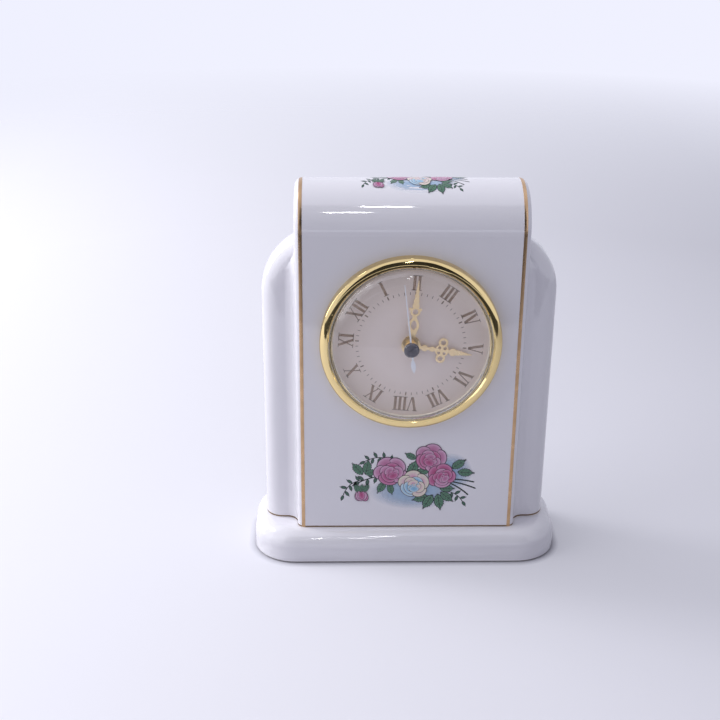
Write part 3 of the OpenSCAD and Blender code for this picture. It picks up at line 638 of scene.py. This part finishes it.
def letter_x():
    spread = 1.7 * MM
    down = stroke(thick, figure_h, spread, 0, -2 * spread)
    up = stroke(thin, figure_h, -spread, 0, 2 * spread)
    ends = [serif(x, side, 2.1 * MM) for x in (-spread, spread) for side in (1, -1)]
    return join([down, up, *ends], "letter_x")


letters = {"I": letter_i(), "V": letter_v(), "X": letter_x()}
advances = {"I": 2.35 * MM, "V": 4.9 * MM, "X": 5.0 * MM}
print("letters:", list(letters))

# %% [markdown]
# What repeats is modelled once and copied, each copy with a mesh of its own. Ink and paint start as
# flat sheets and get a thin skin, which makes them closed pieces. A finished piece then gets its
# finish and the body of the clock that it rides on.

# %% Tools for copies, skins and bodies


def copy_to(piece, place):
    """A copy with a mesh of its own, put at a place given as a matrix."""
    twin = piece.copy()
    twin.data = piece.data.copy()
    bpy.context.collection.objects.link(twin)
    twin.matrix_world = place
    return twin


def apply_modifiers(piece):
    pick(piece)
    for modifier in list(piece.modifiers):
        bpy.ops.object.modifier_apply(modifier=modifier.name)


def thicken(piece, thickness, offset):
    """Turns a sheet into a closed skin. An offset of 1 grows it along its normals, and -1 against them."""
    skin = piece.modifiers.new("skin", "SOLIDIFY")
    skin.thickness = thickness
    skin.offset = offset
    apply_modifiers(piece)


def dress(piece, finish, body, slot):
    piece.data.materials.clear()
    piece.data.materials.append(finish)
    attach(piece, body)
    print(piece.name, len(piece.data.polygons), "faces on", body)


piece_tools = (copy_to, apply_modifiers, thicken, dress)
print("tools for pieces:", [tool.__name__ for tool in piece_tools])

# %% [markdown]
# The numerals stand round the dial with their feet to the centre. The whole print is laid out flat,
# with the twelve up, and then set on the dial by one matrix: it tips the sheet upright to face the
# front, and turns it as the insert is turned in its hole. The ink is a few hundredths of a millimetre
# thick.

# %% Numerals round the dial
figure_r = 32 * MM
print_lift = 0.01 * MM
print_t = 0.03 * MM
dial_place = (
    Matrix.Translation((dial_axis.x, dial_front_y - print_lift, dial_axis.z))
    @ Matrix.Rotation(math.radians(90), 4, "X")
    @ Matrix.Rotation(insert_turn, 4, "Z")
)


def hour_turn(hours):
    return Matrix.Rotation(-math.radians(30) * hours, 4, "Z")


def numeral(word, hour):
    """Copies of the letters of one numeral, set side by side at its hour."""
    x = -sum(advances[letter] for letter in word) / 2
    placed = []
    for letter in word:
        at = Matrix.Translation((x + advances[letter] / 2, figure_r, 0))
        placed.append(copy_to(letters[letter], dial_place @ hour_turn(hour) @ at))
        x += advances[letter]
    return placed


words = ["I", "II", "III", "IV", "V", "VI", "VII", "VIII", "IX", "X", "XI", "XII"]
figures = [piece for hour, word in enumerate(words, start=1) for piece in numeral(word, hour)]
numerals = join(figures, "dial_numerals")
thicken(numerals, print_t, 1)
dress(numerals, dial_ink, "insert", "dial")
for letter in letters.values():
    bpy.data.objects.remove(letter)

# %% [markdown]
# The minute circle has a short mark for each minute and a bolder one at each hour. A pattern in the
# dial's colour could make them, but strokes have crisp ends and the shine of the ink. Each kind is one
# stroke, copied round the circle.

# %% Minute marks
mark_r = 26.5 * MM
minute_mark = stroke(width=0.28 * MM, height=1.4 * MM, x=0, y=mark_r)
hour_mark = stroke(width=0.6 * MM, height=1.8 * MM, x=0, y=mark_r)
marks = []
for minute in range(60):
    pattern = hour_mark if minute % 5 == 0 else minute_mark
    marks.append(copy_to(pattern, dial_place @ hour_turn(minute / 5)))
minute_marks = join(marks, "dial_minute_marks")
thicken(minute_marks, print_t, 1)
dress(minute_marks, dial_ink, "insert", "dial")
bpy.data.objects.remove(minute_mark)
bpy.data.objects.remove(hour_mark)

# %% [markdown]
# Gold lines and roses are laid on the front of the pylon and follow it over the roll top. They are
# made flat, as a transfer is, and then bent on to the glaze point by point: u runs across the panel
# and round its edge, and v runs up the panel and over the roll. A sheet that is bent this way needs
# enough rows of faces to follow the curve.

# %% Bend a flat sheet on to the pylon


def on_pylon(u, v, lift):
    flat_half = pylon_w / 2 - pylon_round
    edge_angle = max(abs(u) - flat_half, 0) / pylon_round
    outside = pylon_round + lift
    x = math.copysign(min(abs(u), flat_half) + outside * math.sin(edge_angle), u)
    depth = pylon_round - outside * math.cos(edge_angle)
    roll_angle = max(v - panel_h, 0) / roll_r
    reach = roll_r - depth
    y = roll_y - reach * math.cos(roll_angle)
    z = plinth_h + min(v, panel_h) + reach * math.sin(roll_angle)
    return Vector((x, y, z))


def lay_on_pylon(sheet, u, v):
    """Bends a flat sheet on to the glaze, with its own origin at u, v and its height as the lift."""
    for vertex in sheet.data.vertices:
        vertex.co = on_pylon(u + vertex.co.x, v + vertex.co.y, vertex.co.z)
    sheet.data.update()


print("top of the roll:", on_pylon(0, panel_h + math.pi / 2 * roll_r, 0))

# %% [markdown]
# A gold line runs up each edge of the panel, on the first part of its rounding, over the roll top and
# down to where the back begins. A curve with a bevel would stand off the rounding, so the line is a
# long grid that is bent on to the glaze.

# %% Gold lines on the pylon's edges
line_w = 1.8 * MM
line_u = 53.9 * MM
line_lift = 0.03 * MM
line_t = 0.05 * MM
line_l = panel_h + math.pi * roll_r


def edge_line(side, name):
    deselect()
    bpy.ops.mesh.primitive_grid_add(x_subdivisions=6, y_subdivisions=160, size=1)
    line = bpy.context.object
    line.name = name
    line.scale = (line_w, line_l, 1)
    line.location = (0, line_l / 2, line_lift)
    apply_place(line)
    lay_on_pylon(line, side * line_u, 0)
    thicken(line, line_t, 1)
    pick(line)
    bpy.ops.object.shade_smooth_by_angle(angle=math.radians(40))
    dress(line, lustre_gold, "case", "gilt")


edge_line(-1, "gold_line_left")
edge_line(1, "gold_line_right")

# %% [markdown]
# A thinner line runs round the foot of the pylon and the wings, where they stand on the plinth. Its
# outline is that of two rounded blocks, one for the pylon and one for the wings. A block is a cube
# whose upright edges are bevelled.

# %% Rounded blocks for the foot
foot_line_h = 0.8 * MM


def bevel_uprights(block, test, radius):
    """Rounds the upright edges whose foot passes the test."""

    def is_chosen(edge):
        foot, head = [block.data.vertices[number].co for number in edge.vertices]
        return abs(foot.z - head.z) > foot_line_h / 2 and test(foot)

    open_where(block, is_chosen, "EDGE")
    bpy.ops.mesh.bevel(offset=radius, segments=10)
    close_edit()


def rounded_block(width, depth, corner):
    deselect()
    bpy.ops.mesh.primitive_cube_add(size=1, location=(0, roll_y, plinth_h + foot_line_h / 2))
    block = bpy.context.object
    block.scale = (width + 2 * line_lift, depth + 2 * line_lift, foot_line_h)
    apply_place(block)
    bevel_uprights(block, lambda foot: True, corner + line_lift)
    return block


print("blocks:", foot_line_h, "high, from", plinth_h)

# %% [markdown]
# The two blocks are joined by a boolean, and the two inner corners at the front are bevelled into
# coves, as on the body. Without their lids they are a ribbon, which gets its thickness inwards.

# %% Gold line round the foot
corner_reach = 0.1 * MM


def is_inner_corner(foot):
    off_pylon = abs(abs(foot.x) - pylon_w / 2 - line_lift)
    off_wing = abs(roll_y - foot.y - wing_t / 2 - line_lift)
    return max(off_pylon, off_wing) < corner_reach


def foot_line():
    line = rounded_block(pylon_w, pylon_d, pylon_round)
    line.name = "gold_line_foot"
    wings = rounded_block(wing_w, wing_t, wing_round)
    union = line.modifiers.new("wings", "BOOLEAN")
    union.operation = "UNION"
    union.object = wings
    apply_modifiers(line)
    bpy.data.objects.remove(wings)
    bevel_uprights(line, is_inner_corner, cove_r)
    open_where(line, lambda face: abs(face.normal.z) > 0.5, "FACE")
    bpy.ops.mesh.delete(type="FACE")
    close_edit()
    thicken(line, 2 * line_lift, -1)
    dress(line, foot_gold_painted_shade, "case", "gilt")


foot_line()

# %% [markdown]
# The sprays are transfers: roses, buds, leaves and stems printed in a few colours with a dark key
# line round each shape. They could be a picture on the glaze, but a picture is a file of its own, so
# they are thin shapes. Every petal and leaf starts as one disc that remembers, in an attribute called
# tone, how far each point was from its middle. A colour ramp reads the tone.

# %% How a transfer is coloured


def make_transfer(name, stops):
    """A printed colour that runs through the given stops from the middle of a shape to its rim."""
    material = new_material(name)
    tree = material.node_tree
    tone = add_node(tree, "Attribute", {}, attribute_name="tone")
    ramp = add_node(tree, "ValToRGB", {"Fac": tone.outputs["Fac"]})
    steps = ramp.color_ramp.elements
    while len(steps) < len(stops):
        steps.new(0.5)
    for step, (position, colour) in zip(steps, stops):
        step.position = position
        step.color = (*colour, 1)
    wash = add_mottle(tree, (1, 1, 1), (0.72, 0.70, 0.74), 700, 0.08, 0.2)
    layers = {"Factor": 1.0, "A": ramp.outputs["Color"], "B": wash["Color"]}
    tint = add_node(tree, "Mix", layers, data_type="RGBA", blend_type="MULTIPLY")
    feed(shader_of(material), {"Base Color": tint.outputs["Result"], "Roughness": wash["Roughness"]})
    return material


print("transfer helper:", make_transfer.__name__)

# %% [markdown]
# The colours deepen towards the heart of a petal and turn to the key line at its rim: plum round the
# flowers, and nearly black round the leaves.

# %% Petal and leaf colours
plum_key = (0.07, 0.02, 0.06)
dark_key = (0.02, 0.03, 0.035)
petal_pale = make_transfer(
    "petal_pale",
    [(0.0, (0.50, 0.15, 0.32)), (0.55, (0.62, 0.27, 0.46)), (0.89, (0.74, 0.46, 0.64)), (0.92, plum_key)],
)
petal_deep = make_transfer(
    "petal_deep",
    [(0.0, (0.42, 0.06, 0.18)), (0.55, (0.55, 0.13, 0.31)), (0.89, (0.67, 0.28, 0.47)), (0.92, plum_key)],
)
petal_cream = make_transfer(
    "petal_cream",
    [(0.0, (0.74, 0.34, 0.52)), (0.5, (0.84, 0.66, 0.66)), (0.9, (0.86, 0.82, 0.66)), (0.94, plum_key)],
)
petal_blue = make_transfer(
    "petal_blue",
    [(0.0, (0.22, 0.48, 0.74)), (0.55, (0.34, 0.60, 0.82)), (0.9, (0.66, 0.82, 0.90)), (0.94, plum_key)],
)
leaf_green = make_transfer(
    "leaf_green",
    [(0.0, (0.15, 0.33, 0.20)), (0.5, (0.08, 0.21, 0.13)), (0.78, (0.14, 0.32, 0.20)), (0.82, dark_key)],
)
blade_green = make_transfer(
    "blade_green", [(0.0, (0.07, 0.16, 0.11)), (0.7, (0.05, 0.12, 0.085)), (0.8, dark_key)]
)
stem_ink = make_transfer("stem_ink", [(0.0, (0.045, 0.08, 0.06)), (1.0, dark_key)])
transfers = (petal_pale, petal_deep, petal_cream, petal_blue, leaf_green, blade_green, stem_ink)
print("transfer colours:", [colour.name for colour in transfers])

# %% [markdown]
# Behind the flowers lies a pale blue wash that fades out to nothing. A pale rim would still show as an
# edge on the glaze, so it is the wash's Alpha that follows the tone.

# %% Wash
wash_from = 0.45
wash_alpha = 0.8


def make_wash():
    material = make_transfer("sky_wash", [(0.0, (0.36, 0.58, 0.84)), (1.0, (0.62, 0.76, 0.90))])
    tree = material.node_tree
    tone = next(node for node in tree.nodes if node.type == "ATTRIBUTE")
    fade = stretch(tree, tone.outputs["Fac"], wash_from, 1.0, wash_alpha, 0.0)
    feed(shader_of(material), {"Alpha": fade})
    return material


sky_wash = make_wash()
print("finish:", sky_wash.name)

# %% [markdown]
# One disc is the start of every shape. It is cut finely enough to bend over the roll top. A petal is
# the disc drawn in at its root, by points chosen for their height and moved together.

# %% Disc and petal


def make_disc(name):
    deselect()
    bpy.ops.mesh.primitive_circle_add(vertices=20, radius=1, fill_type="TRIFAN")
    shape = bpy.context.object
    shape.name = name
    open_where(shape, lambda point: True)
    bpy.ops.mesh.subdivide(number_cuts=2)
    close_edit()
    tone = shape.data.attributes.new("tone", "FLOAT", "POINT")
    for vertex in shape.data.vertices:
        tone.data[vertex.index].value = min(vertex.co.length, 1.0)
    return shape


def squeeze(shape, test, factor):
    """Draws the points whose height passes the test in towards the Y axis."""
    open_where(shape, lambda point: test(point.co.y))
    bpy.ops.transform.resize(value=(factor, 1, 1), center_override=(0, 0, 0))
    close_edit()


def make_petal():
    shape = make_disc("petal")
    squeeze(shape, lambda y: y < -0.3, 0.78)
    squeeze(shape, lambda y: y < -0.75, 0.7)
    return shape


disc = make_disc("disc")
petal = make_petal()
print("shapes:", disc.name, petal.name, "with", len(petal.data.polygons), "faces each")

# %% [markdown]
# A leaf has notches along its rim, is drawn in at both ends and pulled to a point, and gets a rib with
# side veins. A blade is a plain small leaf for the sprigs.

# %% Leaf, blade and veins


def is_notch(point):
    spoke = round(math.degrees(math.atan2(point.co.y, point.co.x)) / 6)
    return point.co.length > 0.95 and spoke % 3 == 0


def make_leaf(name, notched):
    shape = make_disc(name)
    if notched:
        open_where(shape, is_notch)
        bpy.ops.transform.resize(value=(0.84, 0.84, 1), center_override=(0, 0, 0))
        close_edit()
    shape.scale = (0.5, 1, 1)
    apply_place(shape)
    squeeze(shape, lambda y: abs(y) > 0.55, 0.86)
    squeeze(shape, lambda y: abs(y) > 0.8, 0.72)
    open_where(shape, lambda point: point.co.y > 0.93)
    bpy.ops.transform.translate(value=(0, 0.22, 0))
    close_edit()
    return shape


def make_veins():
    """The rib of a leaf and three pairs of side veins, as stretched discs."""
    strokes = [copy_to(disc, Matrix.Diagonal((0.035, 0.95, 1, 1)))]
    for y in (-0.5, -0.1, 0.3):
        for side in (-1, 1):
            place = (
                Matrix.Translation((side * 0.15, y + 0.14, 0))
                @ Matrix.Rotation(-side * math.radians(46), 4, "Z")
                @ Matrix.Diagonal((0.022, 0.22, 1, 1))
            )
            strokes.append(copy_to(disc, place))
    return join(strokes, "veins")


leaf = make_leaf("leaf", True)
blade = make_leaf("blade", False)
veins = make_veins()
print("shapes:", leaf.name, blade.name, veins.name)

# %% [markdown]
# Shapes are stacked like the colours of a print, a few thousandths of a millimetre apart: the wash
# and the stems lie lowest, then the leaves, then the roses. So a spray keeps a list of its shapes and
# the number of the layer it has reached.

# %% A spray of stacked shapes
layer_t = 0.006 * MM


class Spray:
    """A flat transfer that grows shape by shape, in millimetres from its own middle."""

    def __init__(self):
        self.shapes = []
        self.layer = 0

    def add(self, pattern, finish, at, size, turn=0.0):
        """Lays a copy of a shape on the present layer."""
        place = (
            Matrix.Translation((at[0] * MM, at[1] * MM, line_lift + layer_t * self.layer))
            @ Matrix.Rotation(math.radians(turn), 4, "Z")
            @ Matrix.Diagonal((size[0] * MM, size[1] * MM, 1, 1))
        )
        shape = copy_to(pattern, place)
        shape.data.materials.append(finish)
        self.shapes.append(shape)

    def cover(self, pattern, finish, at, size, turn=0.0):
        """Lays a copy of a shape and goes on to the next layer."""
        self.add(pattern, finish, at, size, turn)
        self.layer += 1


print("layer thickness:", layer_t)

# %% [markdown]
# A rose has broad petals behind, a ring of smaller ones, a deep cup, and lips folded over its front.
# Its sizes are shares of its radius. Uneven petals keep it from looking stamped.

# %% Roses
unevenness = [1.0, 0.88, 1.08, 0.94, 1.04, 0.9]
broad_turns = (10, 75, 140, 215, 290)
small_turns = (-30, 45, 115, -105)
lip_turns = (20, 140, 220, 180)


def heading_of(turn):
    """The direction of a turn in degrees, counted from the Y axis."""
    return Vector((-math.sin(math.radians(turn)), math.cos(math.radians(turn))))


def lay_ring(spray, finishes, at, reach, size, turns):
    """Petals round a point, each on a layer of its own and with its root towards the point."""
    for i, turn in enumerate(turns):
        uneven = unevenness[i % len(unevenness)]
        place = Vector(at) + reach * heading_of(turn)
        spray.cover(petal, finishes[i % len(finishes)], place, (uneven * size[0], size[1] / uneven), turn)


def lay_rose(spray, at, r, turn, outer, inner):
    facing = -heading_of(turn)
    heart = Vector(at) + 0.14 * r * facing
    broad, small, lips = [[turn + a for a in turns] for turns in (broad_turns, small_turns, lip_turns)]
    lay_ring(spray, [outer, outer, inner], at, 0.54 * r, (0.58 * r, 0.47 * r), broad)
    lay_ring(spray, [inner, outer], heart, 0.34 * r, (0.46 * r, 0.36 * r), small)
    spray.cover(disc, inner, heart, (0.4 * r, 0.36 * r), turn)
    lay_ring(spray, [outer, inner], heart, 0.2 * r, (0.36 * r, 0.24 * r), lips)
    spray.cover(disc, inner, heart - 0.04 * r * facing, (0.17 * r, 0.14 * r), turn)
    spray.cover(disc, outer, heart - 0.07 * r * facing, (0.08 * r, 0.07 * r), turn)


print("petals of a rose:", len(broad_turns + small_turns + lip_turns))

# %% [markdown]
# A leaf is laid with its veins over it. Stems follow a curve through three handles and are laid as
# short overlapping dashes, so that they need no shape of their own. A sprig is a thin stem with small
# blades on alternate sides and one at its tip.

# %% Leaves, stems and sprigs
stem_dashes = 12


def curve_point(points, s):
    """Place, speed and heading, in degrees from the Y axis, at a share s of a curve."""
    start, handle, end = [Vector(point) for point in points]
    place = (1 - s) ** 2 * start + 2 * s * (1 - s) * handle + s * s * end
    heading = (1 - s) * (handle - start) + s * (end - handle)
    return place, heading.length, math.degrees(math.atan2(-heading.x, heading.y))


def lay_leaf(spray, at, length, turn, width):
    half = (width * length / 2, length / 2)
    spray.cover(leaf, leaf_green, at, half, turn)
    spray.cover(veins, stem_ink, at, half, turn)


def lay_stem(spray, points, width):
    for i in range(stem_dashes):
        place, speed, heading = curve_point(points, (i + 0.5) / stem_dashes)
        spray.add(disc, stem_ink, place, (width / 2, 1.5 * speed / stem_dashes), heading)


def lay_sprig(spray, points, width, blade_l, blades):
    lay_stem(spray, points, width)
    for i in range(blades):
        place, _, heading = curve_point(points, (i + 1) / blades)
        side = 1 if i % 2 else -1
        spread = 0 if i == blades - 1 else side * (35 + 30 * unevenness[i % 6])
        turn = heading + spread
        length = blade_l * unevenness[(2 * i) % 6]
        middle_of_blade = place + 0.5 * length * heading_of(turn)
        spray.add(blade, blade_green, middle_of_blade, (0.5 * length, 0.5 * length), turn)


print("dashes of a stem:", stem_dashes)

# %% [markdown]
# The spray is an arrangement of its own: a wash, stems to the right, trailing sprigs to the left, and
# leaves, with a bud and four roses over them. Places are millimetres from its middle. A sprig has its
# curve, the width of its stem, the length of its blades and their number, and a leaf has its place,
# length and turn.

# %% Wash, stems, sprigs and leaves of the spray
stem_w = 0.9
leaf_width = 1.15
washes = (((3, -9), (25, 11)), ((23, 3), (12, 12)))
stems = (((19, -1), (28, -1), (36, -3)), ((19, -2), (28, -3), (37, -7)), ((19, -2), (27, -5), (33, -11)))
sprigs = (
    ([(-8, 9), (-15, 15), (-24, 10)], 0.5, 3.4, 8),
    ([(-8, 0), (-18, 2), (-27, -3)], 0.6, 4.0, 8),
    ([(-25, -2), (-33, -2), (-36, -11)], 0.5, 3.6, 7),
    ([(22, -9), (27, -10), (30, -15)], 0.5, 3.4, 5),
)
leaves = (
    ((-28, 5), 9, 40),
    ((-23, 6), 9, -10),
    ((-21, 3), 7, -75),
    ((-15, -6), 8, 150),
    ((-10, -7), 7, 195),
    ((2, 5), 11, -20),
    ((8, 4), 9, -65),
    ((1, 13), 7, 60),
    ((7, -13), 9, 105),
    ((11, -15), 10, 150),
    ((17, -15), 10, 190),
    ((21, -12), 9, 230),
    ((21, -7), 8, 270),
    ((27, 8), 9, -55),
    ((31, 3), 9, -95),
)
print("spray:", len(stems), "stems,", len(sprigs), "sprigs and", len(leaves), "leaves")

# %% [markdown]
# The bud hangs on the longest sprig, with five small leaves round its neck. Of the four roses, two and
# two don't overlap and share their layers, which keeps the stack thin.

# %% Bud and roses of the spray
bud = (-26, -10)
bud_neck = 3.4
bud_leaf_l = 5.4
bud_leaf_width = 0.9
bud_leaves = ((-2.9, 195), (0.1, 172), (2.9, 155), (-1.6, 30), (1.9, -30))


def lay_bud(spray):
    lay_ring(spray, [petal_pale, petal_deep], bud, 1.0, (3.1, 4.0), (150, 215, 180))
    lay_ring(spray, [petal_pale, petal_deep], bud, 0.6, (1.9, 3.0), (165, 190))
    for reach, turn in bud_leaves:
        lay_leaf(spray, (bud[0] + reach, bud[1] + bud_neck), bud_leaf_l, turn, bud_leaf_width)


def lay_roses(spray):
    shared_layer = spray.layer
    lay_rose(spray, (-10, 4), 9.2, 25, petal_pale, petal_deep)
    spray.layer = shared_layer
    lay_rose(spray, (12, 12), 8.8, -20, petal_pale, petal_deep)
    shared_layer = spray.layer
    lay_rose(spray, (18, 1), 7.8, 50, petal_deep, petal_pale)
    spray.layer = shared_layer
    lay_rose(spray, (3, -4), 8.6, 0, petal_cream, petal_blue)


print("bud at", bud, "with", len(bud_leaves), "leaves")

# %% [markdown]
# The spray is built nearly at full size for the panel and once more, smaller, for the roll top. Each
# is joined flat and then bent on to the glaze like the gold lines.

# %% Two sprays of roses
panel_spray_v = 29.5 * MM
top_spray_v = panel_h + roll_r * math.radians(92)


def rose_spray(name, scale, u, v):
    spray = Spray()
    for at, size in washes:
        spray.cover(disc, sky_wash, at, size)
    for points in stems:
        lay_stem(spray, points, stem_w)
    spray.layer += 1
    for points, width, blade_l, blades in sprigs:
        lay_sprig(spray, points, width, blade_l, blades)
    spray.layer += 1
    for at, length, turn in leaves:
        lay_leaf(spray, at, length, turn, leaf_width)
    lay_roses(spray)
    lay_bud(spray)
    count = len(spray.shapes)
    whole = join(spray.shapes, name)
    whole.scale = (scale, scale, 1)
    apply_place(whole)
    lay_on_pylon(whole, u, v)
    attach(whole, "case")
    print(name, count, "shapes", len(whole.data.polygons), "faces", spray.layer, "layers")


rose_spray("rose_spray_panel", 0.94, 0.8 * MM, panel_spray_v)
rose_spray("rose_spray_top", 0.7, 1.8 * MM, top_spray_v)
for pattern in (disc, petal, leaf, blade, veins):
    bpy.data.objects.remove(pattern)

# %% [markdown]
# The clock stands on a plain pale table, which the window washes out on its left. More light would burn
# out the clock as well. So the table has a faint glow, only for the rays that show it: to the camera,
# in a mirror and through glass. The glow stops short of the foot, whose outline is a rectangle with
# round corners, and so the shadow under the clock stays.

# %% Glow of the table
glow_tint = (0.93, 0.93, 1.0, 1)
glow_reach = 0.4
glow_left = 0.42
glow_right = 0.08
glow_gap = 0.3 * MM
glow_full = 4 * MM
plinth_corner = 22 * MM
foot_half = (body_high - body_low) / 2
corner_middle = (foot_half.x - plinth_corner, foot_half.y - plinth_corner, 0)


def shown_rays(tree):
    """One for the rays that show the background: to the camera, in a mirror and through glass."""
    rays = add_node(tree, "LightPath", {}).outputs
    mirrored = arithmetic(tree, "MAXIMUM", rays["Is Glossy Ray"], rays["Is Transmission Ray"])
    return arithmetic(tree, "MAXIMUM", rays["Is Camera Ray"], mirrored)


def table_glow(tree, place):
    across = add_node(tree, "SeparateXYZ", {"Vector": place}).outputs["X"]
    strength = stretch(tree, across, -glow_reach, glow_reach, glow_left, glow_right)
    off_middle = vector_step(tree, "SUBTRACT", place, (0, roll_y, 0))
    one_quarter = vector_step(tree, "ABSOLUTE", off_middle)
    past_corner = vector_step(tree, "SUBTRACT", one_quarter, corner_middle)
    outwards = vector_step(tree, "MAXIMUM", past_corner, (0, 0, 0))
    from_corner = vector_step(tree, "LENGTH", outwards)
    clear = stretch(tree, from_corner, plinth_corner + glow_gap, plinth_corner + glow_full)
    glow = arithmetic(tree, "MULTIPLY", clear, strength)
    return arithmetic(tree, "MULTIPLY", glow, shown_rays(tree))


print("glow from", glow_left, "on the left to", glow_right, "on the right")

# %% [markdown]
# The table is one wide matt sheet. Its Alpha fades out with the distance from the clock, so that it
# melts into the world behind it and no edge shows.

# %% Table
table_r = 6.0
fade_from = 0.6
fade_to = 1.5


def make_table():
    deselect()
    bpy.ops.mesh.primitive_circle_add(vertices=64, radius=table_r, fill_type="NGON")
    table = bpy.context.object
    table.name = "table"
    material = make_finish("pale_table", (0.55, 0.547, 0.60), (0.535, 0.53, 0.585), 3, 0.45, 0.55)
    tree = material.node_tree
    place = place_in(tree)
    distance = vector_step(tree, "LENGTH", place)
    sheet = {
        "Specular IOR Level": 0,
        "Emission Color": glow_tint,
        "Emission Strength": table_glow(tree, place),
        "Alpha": stretch(tree, distance, fade_from, fade_to, 1.0, 0.0),
    }
    feed(shader_of(material), sheet)
    table.data.materials.append(material)
    print("table:", table_r, "m, faded out at", fade_to, "m")


make_table()

# %% [markdown]
# The room behind is nearly white too. A world that bright would light the clock from all sides and
# flatten it, so only the rays that show the world see it at full strength, and its light stays low.

# %% World
room_tint = (0.87, 0.88, 1.0, 1)
room_light = 0.42
room_shown = 1.0


def make_world():
    world = bpy.data.worlds.new("pale_room")
    world.use_nodes = True
    bpy.context.scene.world = world
    tree = world.node_tree
    strength = stretch(tree, shown_rays(tree), 0, 1, room_light, room_shown)
    feed(tree.nodes["Background"], {"Color": room_tint, "Strength": strength})
    print("world:", world.name)


make_world()

# %% [markdown]
# The room is lit from the left and from above, so the left sides are nearly white and the panel is in
# soft shade. The big lamps are hidden from reflections, which would show them as hard white boards.
# A gap of the window shows on the round edges, and two small lamps above the camera draw the thin
# streaks on the roll top and the plinth.

# %% Lamps
middle = (cad_low + cad_high) / 2


def make_lamp(name, place, size, power, colour=(1, 1, 1), mirrored=True):
    """An area lamp that faces the middle of the clock. Sizes are in metres and power is in watts."""
    data = bpy.data.lights.new(name, "AREA")
    data.shape = "RECTANGLE"
    data.size, data.size_y = size
    data.energy = power
    data.color = colour
    lamp = bpy.data.objects.new(name, data)
    bpy.context.collection.objects.link(lamp)
    lamp.location = place
    lamp.rotation_euler = (middle - Vector(place)).to_track_quat("-Z", "Y").to_euler()
    lamp.visible_camera = False
    lamp.visible_glossy = mirrored
    print("lamp:", name, power, "W")


make_lamp("window", (-1.4, 0.1, 0.85), (2.0, 1.4), 20, mirrored=False)
make_lamp("window_gap", (-1.35, 0.45, 0.8), (0.35, 1.5), 8)
make_lamp("ceiling", (-0.7, 0.08, 1.7), (1.6, 1.4), 9, (0.91, 0.92, 1.0), mirrored=False)
make_lamp("tube_left", (-0.017, -1.17, 1.29), (0.085, 0.08), 0.45)
make_lamp("tube_right", (0.053, -0.85, 1.55), (0.09, 0.09), 0.7)

# %% [markdown]
# Behind the camera the room is dark. A card that only reflections can see stands there, and another
# lies on the table in front of the clock. They put the dark bands on the bezel and keep the glaze of
# the panel from going milky.

# %% Dark cards
card_cloth = make_finish("card_cloth", (0.03, 0.03, 0.03), (0.02, 0.02, 0.02), 5, 0.8, 0.9)


def make_dark_card(name, place, tilt, size):
    deselect()
    bpy.ops.mesh.primitive_plane_add(size=1, location=place, rotation=(tilt, 0, 0))
    card = bpy.context.object
    card.name = name
    card.scale = (*size, 1)
    apply_place(card)
    card.data.materials.append(card_cloth)
    card.visible_camera = False
    card.visible_diffuse = False
    card.visible_transmission = False
    card.visible_shadow = False
    print("card:", name, size)


make_dark_card("dark_card", (0, -1.6, 1.7), math.radians(90), (2.6, 3.0))
make_dark_card("dark_floor", (0, -1.34, 0.004), 0, (3.0, 2.0))

# %% [markdown]
# The camera stands a little to the left and looks down on the clock, at the angle of the photograph.
# Its place is in the clock's own frame, and its turn is given as a yaw, a tilt and a small roll.

# %% Camera
camera_place = Vector((-0.0366, -0.5756, 0.3493))
camera_yaw = math.radians(1.21)
camera_tilt = math.radians(23.07)
camera_roll = math.radians(0.42)
camera_lens = 60.94
camera_sensor = 36
camera_data = bpy.data.cameras.new("camera")
camera_data.lens = camera_lens
camera_data.sensor_width = camera_sensor
camera = bpy.data.objects.new("camera", camera_data)
bpy.context.collection.objects.link(camera)
camera.matrix_world = (
    Matrix.Translation(camera_place)
    @ Matrix.Rotation(-camera_yaw, 4, "Z")
    @ Matrix.Rotation(math.radians(90) - camera_tilt, 4, "X")
    @ Matrix.Rotation(camera_roll, 4, "Z")
)
bpy.context.scene.camera = camera
bpy.context.scene.view_settings.view_transform = "Standard"
print("camera at", camera_place)
